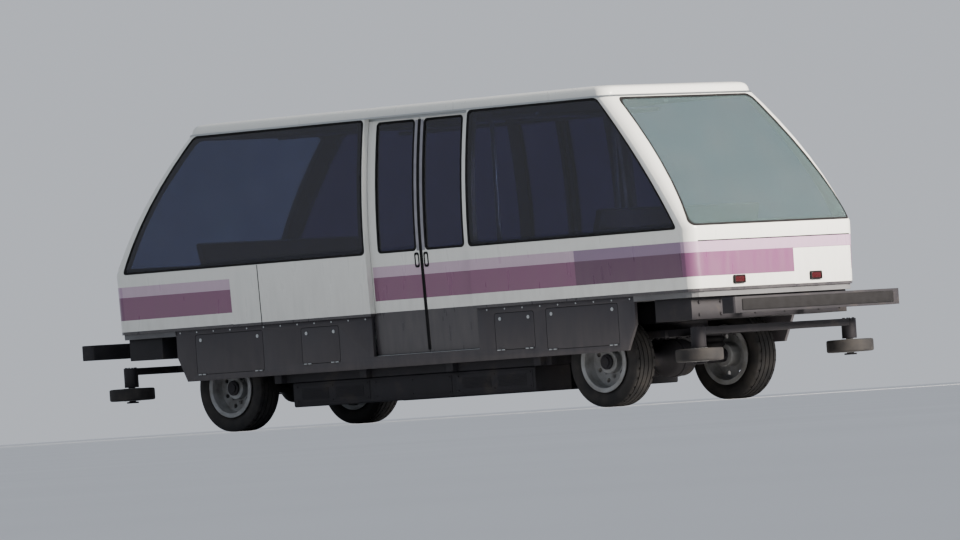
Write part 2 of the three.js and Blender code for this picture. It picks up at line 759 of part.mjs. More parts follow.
const MOTOR_X = [-480, -200];
const MOTOR_RADIUS = 150;
const MOTOR_NECK = 75;
for (const end of ENDS) {
  const truck = new THREE.Group();
  truck.position.x = end.sign * TRUCK_X;
  truck.rotation.z = end.sign > 0 ? 0 : Math.PI;
  truck.add(named(`truck_frame_${end.name}`, truckFrame(), DARK_STEEL));
  truck.add(named(`drive_axle_${end.name}`, driveAxle(), DARK_STEEL));
  const axle = [0, 0, TYRE_RADIUS];
  const neck = bar("x", axle, [MOTOR_X[1] - 10, -MOTOR_RADIUS - SEAM], MOTOR_NECK, ROUND_SEGMENTS);
  const motor = bar("x", axle, MOTOR_X, MOTOR_RADIUS, ROUND_SEGMENTS).add(neck);
  truck.add(named(`motor_${end.name}`, motor, DARK_STEEL));
  for (const side of SIDES) {
    const local = side.sign * end.sign;
    const wheel = new THREE.Group();
    wheel.position.z = TYRE_RADIUS;
    wheel.rotation.z = local > 0 ? 0 : Math.PI;
    wheel.add(named(`rim_${end.name}_${side.name}`, rim(), WHEEL_STEEL));
    wheel.add(named(`tyre_${end.name}_${side.name}`, tyre(), RUBBER));
    truck.add(wheel);
    const guide = named(`guide_wheel_${end.name}_${side.name}`, guideWheel(), RUBBER);
    guide.position.set(GUIDE_X, local * GUIDE_Y, 0);
    truck.add(guide);
  }
  car.add(truck);
}

export default car;
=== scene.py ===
import math

import bmesh
import bpy
from mathutils import Matrix, Vector


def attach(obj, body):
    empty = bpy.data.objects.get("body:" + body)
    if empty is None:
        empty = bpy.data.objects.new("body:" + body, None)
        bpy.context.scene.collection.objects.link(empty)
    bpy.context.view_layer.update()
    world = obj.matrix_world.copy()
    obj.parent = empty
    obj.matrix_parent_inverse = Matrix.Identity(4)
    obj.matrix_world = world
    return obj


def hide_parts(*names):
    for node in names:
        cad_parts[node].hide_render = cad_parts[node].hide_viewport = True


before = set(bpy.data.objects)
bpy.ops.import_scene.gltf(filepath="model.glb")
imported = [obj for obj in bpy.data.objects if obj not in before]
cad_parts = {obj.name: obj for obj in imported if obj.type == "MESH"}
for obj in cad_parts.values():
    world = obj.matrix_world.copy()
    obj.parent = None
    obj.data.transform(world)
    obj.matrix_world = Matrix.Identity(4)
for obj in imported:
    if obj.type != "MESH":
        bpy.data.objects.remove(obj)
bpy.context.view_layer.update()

# Camera: a long lens at floor level, off the right front corner of the car, turned a little anticlockwise as
# the photograph is. It frames the car alone, where the photograph has it small in a wide view.
CAMERA_AZIMUTH = math.radians(43.39)
CAMERA_ROLL = math.radians(-3.78)
CAMERA_DISTANCE = 78.8
CAMERA_HEIGHT = 0.02
CAMERA_AIM = Vector((0.03, 0.0, 1.22))
LENS_MM = 352.0

camera_rise = math.asin((CAMERA_HEIGHT - CAMERA_AIM.z) / CAMERA_DISTANCE)
backward = Vector(
    (
        math.sin(CAMERA_AZIMUTH) * math.cos(camera_rise),
        -math.cos(CAMERA_AZIMUTH) * math.cos(camera_rise),
        math.sin(camera_rise),
    )
)
level_right = Vector((0, 0, 1)).cross(backward).normalized()
level_up = backward.cross(level_right)
camera_right = level_right * math.cos(CAMERA_ROLL) + level_up * math.sin(CAMERA_ROLL)
camera_up = level_up * math.cos(CAMERA_ROLL) - level_right * math.sin(CAMERA_ROLL)
turn = Matrix((camera_right, camera_up, backward)).transposed().to_4x4()
camera_data = bpy.data.cameras.new("long_lens")
camera_data.lens = LENS_MM
camera_data.clip_end = 2000
camera = bpy.data.objects.new("camera", camera_data)
camera.matrix_world = Matrix.Translation(CAMERA_AIM + backward * CAMERA_DISTANCE) @ turn
bpy.context.scene.collection.objects.link(camera)
bpy.context.scene.camera = camera


def linear(code):
    channels = [int(code[i : i + 2], 16) / 255 for i in (0, 2, 4)]
    return tuple(c / 12.92 if c <= 0.04045 else ((c + 0.055) / 1.055) ** 2.4 for c in channels) + (1.0,)


def feed(node, inputs):
    for name, value in inputs.items():
        if isinstance(value, bpy.types.NodeSocket):
            node.id_data.links.new(value, node.inputs[name])
        else:
            node.inputs[name].default_value = value


def add(tree, kind, inputs=(), ramp=(), **settings):
    made = tree.nodes.new(kind)
    for name, value in settings.items():
        setattr(made, name, value)
    feed(made, dict(inputs))
    for i, (place, shade) in enumerate(ramp):
        stop = made.color_ramp.elements[i] if i < 2 else made.color_ramp.elements.new(place)
        stop.position = place
        stop.color = linear(shade)
    return made


def begin(name):
    made = bpy.data.materials.new(name)
    made.use_nodes = True
    tree = made.node_tree
    place = add(tree, "ShaderNodeTexCoord").outputs["Object"]
    return made, tree, tree.nodes["Principled BSDF"], place


# Light: a pale sky, a weak lamp high overhead, and a broad soft one off the front end, since the photograph
# has the end in the light and the near side in shade. The floor is a plain pale sheet.
SKY_TINT = "DADFE8"
SKY_STRENGTH = 0.80
world = bpy.data.worlds.new("pale_sky")
world.use_nodes = True
feed(world.node_tree.nodes["Background"], {"Color": linear(SKY_TINT), "Strength": SKY_STRENGTH})
bpy.context.scene.world = world

LAMPS = (
    # name, place, aim, size, spread, watts, colour
    ("overhead", (0, 0, 16), (0, 0, 1), 14, 180, 100, "FFFFFF"),
    ("front_key", (14.5, 1.5, 6.0), (3, 0, 1.8), 5, 60, 1100, "FFF3E6"),
)
for name, place, aim, size, spread, watts, colour in LAMPS:
    lamp_data = bpy.data.lights.new(name, "AREA")
    lamp_data.size = size
    lamp_data.spread = math.radians(spread)
    lamp_data.energy = watts
    lamp_data.color = linear(colour)[:3]
    lamp = bpy.data.objects.new(name, lamp_data)
    toward = Vector(aim) - Vector(place)
    lamp.matrix_world = Matrix.Translation(place) @ toward.to_track_quat("-Z", "Y").to_matrix().to_4x4()
    bpy.context.scene.collection.objects.link(lamp)

FLOOR_HALF = 400.0
# Rolled matt paint with a faint mottle under a metre across.
floor_paint, floor_nodes, floor_shader, floor_place = begin("pale_floor_paint")
floor_mottle = add(floor_nodes, "ShaderNodeTexNoise", {"Vector": floor_place, "Scale": 1.3})
floor_tone = add(
    floor_nodes,
    "ShaderNodeValToRGB",
    {"Fac": floor_mottle.outputs["Fac"]},
    ramp=((0.3, "D3D5D8"), (0.7, "DADCDF")),
)
feed(floor_shader, {"Roughness": 0.75, "Base Color": floor_tone.outputs["Color"]})
floor_mesh = bmesh.new()
bmesh.ops.create_grid(floor_mesh, x_segments=1, y_segments=1, size=FLOOR_HALF)
floor_data = bpy.data.meshes.new("studio_floor")
floor_mesh.to_mesh(floor_data)
floor_mesh.free()
floor_data.materials.append(floor_paint)
studio_floor = bpy.data.objects.new("studio_floor", floor_data)
bpy.context.scene.collection.objects.link(studio_floor)

# Body shell: glass-fibre mouldings about 55 mm thick over foam, in white gelcoat with painted stripes: four
# side panels below and beside the windows, and a one-piece cap at each end, bonded and sealed where they
# meet.
BODY_HALF = 3.35
ROOF_HALF = 2.37
BELT_HALF = 1.02
BOTTOM_HALF = 1.00
ROOF_SIDE = 0.91
BODY_BOTTOM = 0.886
BELT = 1.40
ROOF_EDGE = 2.60
CROWN = 2.64
END_BULGE = 0.08
SIDE_BULGE = 0.035
CORNER = 0.12
WALL = 0.055
ROOF_THICKNESS = 0.030
ROOF_JOINT = 2.53
DOOR_EDGES = (-0.31, 0.87)
DOOR_MEETING = 0.277
FAR = 5.0
ENDS = (("front", 1), ("rear", -1))
SIDES = (("left", 1), ("right", -1))
SLOPE_STRETCH = math.hypot(1, (BODY_HALF - ROOF_HALF) / (ROOF_EDGE - BELT))


def rise(z):
    return (z - BELT) / (ROOF_EDGE - BELT)


def bow(z):
    return 4 * rise(z) * (1 - rise(z))


def side_reach(z):
    if z < BELT:
        return BOTTOM_HALF + (BELT_HALF - BOTTOM_HALF) * (z - BODY_BOTTOM) / (BELT - BODY_BOTTOM)
    return BELT_HALF + (ROOF_SIDE - BELT_HALF) * rise(z) + SIDE_BULGE * bow(z)


def end_reach(z):
    if z < BELT:
        return BODY_HALF
    return BODY_HALF + (ROOF_HALF - BODY_HALF) * rise(z) + END_BULGE * bow(z)


def piece(name, bm, *materials):
    data = bpy.data.meshes.new(name)
    bm.to_mesh(data)
    bm.free()
    made = bpy.data.objects.new(name, data)
    bpy.context.scene.collection.objects.link(made)
    for material in materials:
        data.materials.append(material)
    return made


def settle(made):
    graph = bpy.context.evaluated_depsgraph_get()
    old = made.data
    data = bpy.data.meshes.new_from_object(made.evaluated_get(graph))
    made.modifiers.clear()
    made.data = data
    bpy.data.meshes.remove(old)
    return made


def discard(made):
    data = made.data
    bpy.data.objects.remove(made)
    bpy.data.meshes.remove(data)


def carve(made, tool, operation="DIFFERENCE"):
    cut = made.modifiers.new("cut", "BOOLEAN")
    cut.object = tool
    cut.operation = operation
    cut.solver = "EXACT"
    cut.material_mode = "TRANSFER"
    settle(made)
    discard(tool)
    return made


def duplicate(made, name):
    twin = bpy.data.objects.new(name, made.data.copy())
    bpy.context.scene.collection.objects.link(twin)
    return twin


def smooth(made, degrees=32):
    for face in made.data.polygons:
        face.use_smooth = True
    made.data.set_sharp_from_angle(angle=math.radians(degrees))
    return made


def edged(made, width, segments=2, degrees=32):
    bevel = made.modifiers.new("edges", "BEVEL")
    bevel.width = width
    bevel.segments = segments
    bevel.limit_method = "ANGLE"
    bevel.angle_limit = math.radians(degrees)
    settle(made)
    return smooth(made, degrees)


def even(made):
    weigh = made.modifiers.new("even", "WEIGHTED_NORMAL")
    weigh.keep_sharp = True
    return settle(made)


# A solid with the outline in the plane across the axis, its corners rounded, from low to high along the axis.
# Points that only follow a curve, where the outline turns less than this, are left as they are.
CORNER_TURN = math.radians(15)


def prism(outline, axis, low, high, radius=0.0, segments=6):
    put = {
        "x": lambda u, v: (low, u, v),
        "y": lambda u, v: (u, low, v),
        "z": lambda u, v: (u, v, low),
    }[axis]
    along = Vector((axis == "x", axis == "y", axis == "z")) * (high - low)
    bm = bmesh.new()
    bm.faces.new([bm.verts.new(put(u, v)) for u, v in outline])
    if radius:
        bmesh.ops.bevel(
            bm,
            geom=[vert for vert in bm.verts if vert.calc_edge_angle() > CORNER_TURN],
            offset=radius,
            segments=segments,
            profile=0.5,
            affect="VERTICES",
            material=-1,
        )
    raised = bmesh.ops.extrude_face_region(bm, geom=list(bm.faces))["geom"]
    bmesh.ops.translate(bm, verts=[v for v in raised if isinstance(v, bmesh.types.BMVert)], vec=along)
    bmesh.ops.recalc_face_normals(bm, faces=list(bm.faces))
    return bm


def block(x, y, z, radius=0.0):
    bm = prism(((x[0], y[0]), (x[1], y[0]), (x[1], y[1]), (x[0], y[1])), "z", *z)
    if radius:
        bmesh.ops.bevel(
            bm,
            geom=list(bm.edges),
            offset=radius,
            segments=2,
            profile=0.5,
            affect="EDGES",
            material=-1,
        )
    return bm


def merged(parts):
    whole = bmesh.new()
    for part in parts:
        data = bpy.data.meshes.new("part")
        part.to_mesh(data)
        part.free()
        whole.from_mesh(data)
        bpy.data.meshes.remove(data)
    return whole


def span(sign, near, far):
    return (near, far) if sign > 0 else (-far, -near)


# The body's convex form, brought in by an inset, with a rounded roof edge and rounded corners. Columns of the
# roof's rows: how far below the crown, and how far in from the shoulder.
ROOF_ROWS = ((0.090, 0.0), (0.072, 0.003), (0.056, 0.008), (0.042, 0.016), (0.031, 0.026), (0.022, 0.045))
ROOF_ROWS += ((0.016, 0.085), (0.010, 0.180), (0.005, 0.320), (0.002, 0.450), (0.0, 0.600))
BODY_ROWS = (BELT, 1.50, 1.64, 1.80, 1.96, 2.12, 2.28, 2.42)
CORNER_STEPS = 8
LEAST_CORNER = 0.02


def body_volume(inset, roof_inset, bottom, material):
    shoulder = CROWN - ROOF_ROWS[0][0] - roof_inset
    rows = [(bottom, 0.0, bottom)]
    rows += [(z, 0.0, z) for z in BODY_ROWS]
    rows += [(CROWN - roof_inset - drop, inboard, shoulder) for drop, inboard in ROOF_ROWS]
    radius = max(CORNER - inset, LEAST_CORNER)
    half_step = math.pi / (4 * CORNER_STEPS)
    bm = bmesh.new()
    loops = []
    for z, inboard, reach in rows:
        stretch = SLOPE_STRETCH if z > BELT else 1.0
        half_length = end_reach(reach) - inset * stretch - inboard
        half_width = side_reach(reach) - inset - inboard
        verts = bmesh.ops.create_circle(
            bm,
            cap_ends=z in (rows[0][0], rows[-1][0]),
            segments=4 * CORNER_STEPS,
            radius=radius / math.cos(half_step),
            matrix=Matrix.Translation((0, 0, z)) @ Matrix.Rotation(half_step, 4, "Z"),
        )["verts"]
        for vert in verts:
            vert.co.x += math.copysign(half_length - radius, vert.co.x)
            vert.co.y += math.copysign(half_width - radius, vert.co.y)
        loops.append({edge for vert in verts for edge in vert.link_edges})
    for lower, upper in zip(loops, loops[1:]):
        bmesh.ops.bridge_loops(bm, edges=list(lower | upper))
    bmesh.ops.recalc_face_normals(bm, faces=list(bm.faces))
    return piece("volume", bm, material)


# Gelcoat with painted stripes: a white glass-fibre skin, smooth off the mould with a faint long ripple, and
# matt road film low down. The stripes are plum and dusty rose, and stop short at a bare panel behind the
# door. They are deeper towards the front of each side, which is painted shade. On the ends they are a fuller
# mauve, darker than on the sides: painted shade that holds down the lit ends. The panels are dark along their
# lowest edge.
STRIPE_LOW = 1.005
STRIPE_MIDDLE = 1.200
STRIPE_HIGH = 1.290
BARE_SIDE = (-1.93, -0.296)
BARE_END = (0.22, 0.94)
PAINTED_SHADE_FROM = 2.05
LIP_TOP = 0.908
GEL_WHITE = "D3D6D3"
PLUM = "784C6A"
ROSE = "B5A0B2"
# Painted shade: the deep colours darken the side stripes near the front, and the end colours darken the lit
# ends.
SHADE_PAINTED_PLUM = "563650"
SHADE_PAINTED_ROSE = "806C86"
END_SHADED_PLUM = "6A3A60"
END_SHADED_ROSE = "A58AA4"
SKIRT_DARK = "26252C"
LIVERY_LOW = 0.5

gelcoat, coat, coat_shader, coat_place = begin("striped_gelcoat")
coat_axes = add(coat, "ShaderNodeSeparateXYZ", {"Vector": coat_place})
along, across, height = coat_axes.outputs["X"], coat_axes.outputs["Y"], coat_axes.outputs["Z"]
above_low = add(coat, "ShaderNodeMath", {0: height, 1: LIVERY_LOW}, operation="SUBTRACT").outputs[0]


def stripes(low_colour, high_colour):
    bands = add(
        coat,
        "ShaderNodeValToRGB",
        {"Fac": above_low},
        ramp=(
            (0.0, SKIRT_DARK),
            (LIP_TOP - LIVERY_LOW, GEL_WHITE),
            (STRIPE_LOW - LIVERY_LOW, low_colour),
            (STRIPE_MIDDLE - LIVERY_LOW, high_colour),
            (STRIPE_HIGH - LIVERY_LOW, GEL_WHITE),
        ),
    )
    bands.color_ramp.interpolation = "CONSTANT"
    return bands.outputs["Color"]


past_gap = add(coat, "ShaderNodeMath", {0: along, 1: BARE_SIDE[0]}, operation="GREATER_THAN").outputs[0]
before_gap = add(coat, "ShaderNodeMath", {0: along, 1: BARE_SIDE[1]}, operation="LESS_THAN").outputs[0]
bare_side = add(coat, "ShaderNodeMath", {0: past_gap, 1: before_gap}, operation="MULTIPLY").outputs[0]
which_end = add(coat, "ShaderNodeMath", {0: along}, operation="SIGN").outputs[0]
from_end = add(coat, "ShaderNodeMath", {0: along}, operation="ABSOLUTE").outputs[0]
on_end = add(
    coat,
    "ShaderNodeMath",
    {0: from_end, 1: BODY_HALF - CORNER},
    operation="GREATER_THAN",
).outputs[0]
end_across = add(coat, "ShaderNodeMath", {0: across, 1: which_end}, operation="MULTIPLY").outputs[0]
past_panel = add(coat, "ShaderNodeMath", {0: end_across, 1: BARE_END[0]}, operation="GREATER_THAN").outputs[0]
before_panel = add(coat, "ShaderNodeMath", {0: end_across, 1: BARE_END[1]}, operation="LESS_THAN").outputs[0]
in_panel = add(coat, "ShaderNodeMath", {0: past_panel, 1: before_panel}, operation="MULTIPLY").outputs[0]
below_rose = add(coat, "ShaderNodeMath", {0: height, 1: STRIPE_MIDDLE}, operation="LESS_THAN").outputs[0]
end_panel = add(coat, "ShaderNodeMath", {0: in_panel, 1: below_rose}, operation="MULTIPLY").outputs[0]
bare_end = add(coat, "ShaderNodeMath", {0: end_panel, 1: on_end}, operation="MULTIPLY").outputs[0]
bare_any = add(coat, "ShaderNodeMath", {0: bare_side, 1: bare_end}, operation="MAXIMUM").outputs[0]
above_lip = add(coat, "ShaderNodeMath", {0: height, 1: LIP_TOP}, operation="GREATER_THAN").outputs[0]
bare = add(coat, "ShaderNodeMath", {0: bare_any, 1: above_lip}, operation="MULTIPLY").outputs[0]
# Painted shade: past this point on the sides, the stripes take the deeper colours.
near_front = add(coat, "ShaderNodeMath", {0: along, 1: PAINTED_SHADE_FROM}, operation="GREATER_THAN").outputs[0]
on_side = add(coat, "ShaderNodeMath", {0: 1.0, 1: on_end}, operation="SUBTRACT").outputs[0]
painted_shade = add(coat, "ShaderNodeMath", {0: near_front, 1: on_side}, operation="MULTIPLY").outputs[0]
side_striped = add(
    coat,
    "ShaderNodeMix",
    {0: painted_shade, 6: stripes(PLUM, ROSE), 7: stripes(SHADE_PAINTED_PLUM, SHADE_PAINTED_ROSE)},
    data_type="RGBA",
).outputs[2]
# Painted shade: the ends take the darker end stripes.
striped = add(
    coat,
    "ShaderNodeMix",
    {0: on_end, 6: side_striped, 7: stripes(END_SHADED_PLUM, END_SHADED_ROSE)},
    data_type="RGBA",
).outputs[2]
painted = add(
    coat,
    "ShaderNodeMix",
    {0: bare, 6: striped, 7: linear(GEL_WHITE)},
    data_type="RGBA",
).outputs[2]
# Road film: streaks some 60 mm wide and 350 mm long, thicker towards the bottom edge.
streak_place = add(
    coat,
    "ShaderNodeMapping",
    {"Vector": coat_place, "Scale": (9.0, 9.0, 1.6)},
).outputs["Vector"]
streaks = add(
    coat,
    "ShaderNodeTexNoise",
    {"Vector": streak_place, "Scale": 1.8, "Detail": 2.0},
).outputs["Fac"]
low_down = add(
    coat,
    "ShaderNodeMapRange",
    {"Value": height, "From Min": 0.80, "From Max": 1.5, "To Min": 0.34, "To Max": 0.05},
).outputs["Result"]
film = add(coat, "ShaderNodeMath", {0: streaks, 1: low_down}, operation="MULTIPLY").outputs[0]
dusty = add(
    coat,
    "ShaderNodeMix",
    {0: film, 6: painted, 7: linear("6C6864")},
    data_type="RGBA",
).outputs[2]
dulled = add(
    coat,
    "ShaderNodeMapRange",
    {"Value": streaks, "From Min": 0.3, "From Max": 0.75, "To Min": 0.26, "To Max": 0.44},
).outputs["Result"]
# Mould ripple about 150 mm long, under orange peel drawn at 6 mm to show at all.
ripple = add(coat, "ShaderNodeTexNoise", {"Vector": coat_place, "Scale": 6.5, "Detail": 1.0}).outputs["Fac"]
peel = add(coat, "ShaderNodeTexNoise", {"Vector": coat_place, "Scale": 160.0, "Detail": 2.0}).outputs["Fac"]
ripple_bump = add(coat, "ShaderNodeBump", {"Height": ripple, "Strength": 0.35, "Distance": 0.002})
peel_bump = add(
    coat,
    "ShaderNodeBump",
    {"Height": peel, "Strength": 0.12, "Distance": 0.0004, "Normal": ripple_bump.outputs["Normal"]},
)
feed(coat_shader, {
    "Coat Weight": 0.35,
    "Coat Roughness": 0.12,
    "Base Color": dusty,
    "Roughness": dulled,
    "Normal": peel_bump.outputs["Normal"],
})

# Inner lining: vacuum-formed ABS sheet in warm grey, with a 3 mm leather grain and a dull sheen.
lining, lined, lined_shader, lined_place = begin("grained_abs_lining")
lined_grain = add(lined, "ShaderNodeTexVoronoi", {"Vector": lined_place, "Scale": 350.0}).outputs["Distance"]
lined_shade = add(
    lined,
    "ShaderNodeTexNoise",
    {"Vector": lined_place, "Scale": 2.2, "Detail": 3.0},
).outputs["Fac"]
lined_tone = add(
    lined,
    "ShaderNodeValToRGB",
    {"Fac": lined_shade},
    ramp=((0.3, "8E8A84"), (0.75, "9C9892")),
)
lined_bump = add(lined, "ShaderNodeBump", {"Height": lined_grain, "Strength": 0.25, "Distance": 0.0008})
feed(lined_shader, {
    "Roughness": 0.5,
    "Base Color": lined_tone.outputs["Color"],
    "Normal": lined_bump.outputs["Normal"],
})

# Black EPDM: extruded rubber for glazing strips, door edges and joints, dull, with a dusty bloom in patches
# some 70 mm across and a grain of 1.4 mm, coarser than real so that it shows.
rubber, gum, gum_shader, gum_place = begin("black_epdm")
gum_bloom = add(gum, "ShaderNodeTexNoise", {"Vector": gum_place, "Scale": 14.0, "Detail": 4.0}).outputs["Fac"]
gum_tone = add(gum, "ShaderNodeValToRGB", {"Fac": gum_bloom}, ramp=((0.35, "0E0E10"), (0.8, "1B1B1D")))
gum_rough = add(
    gum,
    "ShaderNodeMapRange",
    {"Value": gum_bloom, "To Min": 0.7, "To Max": 0.9},
).outputs["Result"]
gum_grain = add(
    gum,
    "ShaderNodeTexNoise",
    {"Vector": gum_place, "Scale": 700.0, "Detail": 2.0},
).outputs["Fac"]
gum_bump = add(gum, "ShaderNodeBump", {"Height": gum_grain, "Strength": 0.3, "Distance": 0.0004})
feed(gum_shader, {
    "Specular IOR Level": 0.2,
    "Base Color": gum_tone.outputs["Color"],
    "Roughness": gum_rough,
    "Normal": gum_bump.outputs["Normal"],
})

# Openings in the walls and caps, and the seams between the mouldings.
PILLAR_LOW = 0.150
PILLAR_HIGH = 0.125
GLASS_LOW = 1.404
GLASS_HIGH = 2.520
GLASS_IN = 0.002
GLASS_THICK = 0.008
GLASS_LAP = 0.025
POST = 0.070
DOOR_STRIP = 0.015
SCREEN = ((0.978, 1.425), (0.805, 2.515))
CAP_DEPTH = 0.085
SEAM = 0.0004
SEAM_LOW = BODY_BOTTOM - 0.05
SIDE_WINDOW_CORNER = 0.040
SCREEN_CORNER = 0.055
GROOVE_IN = 0.004
PANEL_JOINT_X = -1.59
JOINT_HALF = 0.005
JOINT_HEIGHT = (BODY_BOTTOM - 0.02, GLASS_LOW - 0.012)
SILL_JOINT_FROM = 3.30
SILL_JOINT_HALF = 0.93
SILL_JOINT = 0.010
# Tools for one side or end start off the middle. A layer that follows the skin starts beyond it and ends
# below the body, and the core that hollows it out ends lower still.
OFF_MIDDLE = 0.3
BEYOND = -0.02
OPEN_BOTTOM = BODY_BOTTOM - 0.3
LAYER_BOTTOM = 0.6
CORE_BOTTOM = 0.5


def door_edge(sign):
    return DOOR_EDGES[1] if sign > 0 else -DOOR_EDGES[0]


def side_window(sign, grow, at_door, axis_range):
    low, high = GLASS_LOW - grow, GLASS_HIGH + grow
    inner = door_edge(sign) + at_door - grow
    outline = [(sign * inner, high), (sign * inner, low)]
    for z in (low, *BODY_ROWS[1:], high):
        pillar = PILLAR_LOW + (PILLAR_HIGH - PILLAR_LOW) * rise(z)
        outline.append((sign * (end_reach(z) - pillar + grow), z))
    return prism(outline, "y", *axis_range, radius=SIDE_WINDOW_CORNER)


def screen_window(grow, axis_range):
    (low_half, low), (high_half, high) = SCREEN
    outline = [
        (-low_half - grow, low - grow),
        (low_half + grow, low - grow),
        (high_half + grow, high + grow),
        (-high_half - grow, high + grow),
    ]
    return prism(outline, "x", *axis_range, radius=SCREEN_CORNER)


def side_of_seam(sign, shift, far, axis_range):
    top = ROOF_JOINT - SEAM / 2
    outline = [(sign * far, top), (sign * far, SEAM_LOW)]
    outline += [(sign * (end_reach(z) - CAP_DEPTH + shift), z) for z in (SEAM_LOW, *BODY_ROWS, top)]
    return piece("region", prism(outline, "y", *axis_range), gelcoat)


outside = body_volume(0, 0, BODY_BOTTOM, gelcoat)
shell = duplicate(outside, "shell")
carve(shell, body_volume(WALL, ROOF_THICKNESS, OPEN_BOTTOM, lining))
rebate_layer = body_volume(BEYOND, BEYOND, LAYER_BOTTOM, rubber)
rebate_floor = GLASS_IN + GLASS_THICK + SEAM
carve(rebate_layer, body_volume(rebate_floor, rebate_floor, CORE_BOTTOM, rubber))
groove_layer = body_volume(BEYOND, BEYOND, LAYER_BOTTOM, rubber)
carve(groove_layer, body_volume(GROOVE_IN, GROOVE_IN, CORE_BOTTOM, rubber))

for end, sign in ENDS:
    for side, hand in SIDES:
        half = span(hand, OFF_MIDDLE, FAR)
        wall = duplicate(shell, f"gelcoat_wall_{end}_{side}")
        carve(wall, side_of_seam(sign, -SEAM / 2, door_edge(sign), half), "INTERSECT")
        carve(wall, piece("opening", side_window(sign, -GLASS_LAP, POST - GLASS_LAP, half), lining))
        rebate = duplicate(rebate_layer, "rebate")
        carve(rebate, piece("rebate_region", side_window(sign, SEAM, DOOR_STRIP, half), rubber), "INTERSECT")
        carve(wall, rebate)
        if sign < 0:
            joint = duplicate(groove_layer, "joint")
            joint_box = block((PANEL_JOINT_X - JOINT_HALF, PANEL_JOINT_X + JOINT_HALF), half, JOINT_HEIGHT)
            carve(joint, piece("joint_region", joint_box, rubber), "INTERSECT")
            carve(wall, joint)
        even(smooth(wall))
        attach(wall, "car_body")
        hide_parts(f"side_wall_{end}_{side}")

    forward = span(sign, OFF_MIDDLE, FAR)
    cap = duplicate(shell, f"gelcoat_cap_{end}")
    carve(cap, side_of_seam(sign, SEAM / 2, FAR, (-FAR, FAR)), "INTERSECT")
    carve(cap, piece("opening", screen_window(-GLASS_LAP, forward), lining))
    rebate = duplicate(rebate_layer, "rebate")
    carve(rebate, piece("rebate_region", screen_window(SEAM, forward), rubber), "INTERSECT")
    carve(cap, rebate)
    sill_joint = duplicate(groove_layer, "sill_joint")
    sill_box = block(
        span(sign, SILL_JOINT_FROM, FAR),
        (-SILL_JOINT_HALF, SILL_JOINT_HALF),
        (STRIPE_HIGH, STRIPE_HIGH + SILL_JOINT),
    )
    carve(sill_joint, piece("sill_region", sill_box, rubber), "INTERSECT")
    carve(cap, sill_joint)
    even(smooth(cap))
    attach(cap, "car_body")
    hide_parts(f"end_cap_{end}")

# Roof: one more glass-fibre moulding, bonded down over the walls. Two door rails hang under its edges, and a
# drip strip covers the joint, both of aluminium.
LEAF_IN = 0.061
LEAF_HIGH = 2.510
RAIL_PAST_DOOR = 0.63
RAIL_REACH = (DOOR_EDGES[0] - RAIL_PAST_DOOR, DOOR_EDGES[1] + RAIL_PAST_DOOR)
RAIL_WIDTH = 0.052
RAIL_TOP = 2.600
DRIP_OUT = -0.007
DRIP_IN = 0.001
DRIP_HEIGHT = (ROOF_JOINT - 0.0005, ROOF_JOINT + 0.0125)

# Anodised aluminium, drawn along the car: a soft shine in fine lines. They are drawn 1.4 mm apart, coarser
# than real.
aluminium, alloy, alloy_shader, alloy_place = begin("anodised_aluminium")
alloy_drawn = add(
    alloy,
    "ShaderNodeMapping",
    {"Vector": alloy_place, "Scale": (4.0, 700.0, 700.0)},
).outputs["Vector"]
alloy_lines = add(
    alloy,
    "ShaderNodeTexNoise",
    {"Vector": alloy_drawn, "Scale": 1.0, "Detail": 2.0},
).outputs["Fac"]
alloy_tone = add(alloy, "ShaderNodeValToRGB", {"Fac": alloy_lines}, ramp=((0.3, "9FA4A6"), (0.7, "B9BDBE")))
alloy_rough = add(
    alloy,
    "ShaderNodeMapRange",
    {"Value": alloy_lines, "To Min": 0.3, "To Max": 0.5},
).outputs["Result"]
feed(alloy_shader, {"Metallic": 1.0, "Base Color": alloy_tone.outputs["Color"], "Roughness": alloy_rough})

roof = duplicate(shell, "gelcoat_roof")
roof_region = block((-FAR, FAR), (-FAR, FAR), (ROOF_JOINT + SEAM / 2, CROWN + 0.1))
carve(roof, piece("region", roof_region, lining), "INTERSECT")
for side, hand in SIDES:
    outer = side_reach(LEAF_HIGH) - LEAF_IN
    rail_form = block(RAIL_REACH, span(hand, outer - RAIL_WIDTH, outer), (LEAF_HIGH + SEAM, RAIL_TOP))
    rail = piece("rail", rail_form, aluminium)
    carve(roof, rail, "UNION")
even(smooth(roof))
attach(roof, "car_body")
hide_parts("roof")

drip = body_volume(DRIP_OUT, DRIP_OUT, LAYER_BOTTOM, aluminium)
drip.name = "drip_strip"
carve(drip, body_volume(DRIP_IN, DRIP_IN, CORE_BOTTOM, aluminium))
drip_box = block((-FAR, FAR), (-FAR, FAR), DRIP_HEIGHT)
carve(drip, piece("region", drip_box, aluminium), "INTERSECT")
even(smooth(drip))
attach(drip, "car_body")

# Windows: single panes of glass bedded in the walls and caps under a black rubber glazing strip. The side
# panes are toughened and a dark violet grey. Both windscreens are laminated and a paler blue green.
STRIP_PROUD = -0.002
STRIP_DEPTH = 0.0035
STRIP_OUT = 0.007
STRIP_IN = 0.011

glass_layer = body_volume(GLASS_IN, GLASS_IN, LAYER_BOTTOM, None)
carve(glass_layer, body_volume(GLASS_IN + GLASS_THICK, GLASS_IN + GLASS_THICK, CORE_BOTTOM, None))
strip_layer = body_volume(STRIP_PROUD, STRIP_PROUD, LAYER_BOTTOM, rubber)
carve(strip_layer, body_volume(STRIP_DEPTH, STRIP_DEPTH, CORE_BOTTOM, rubber))


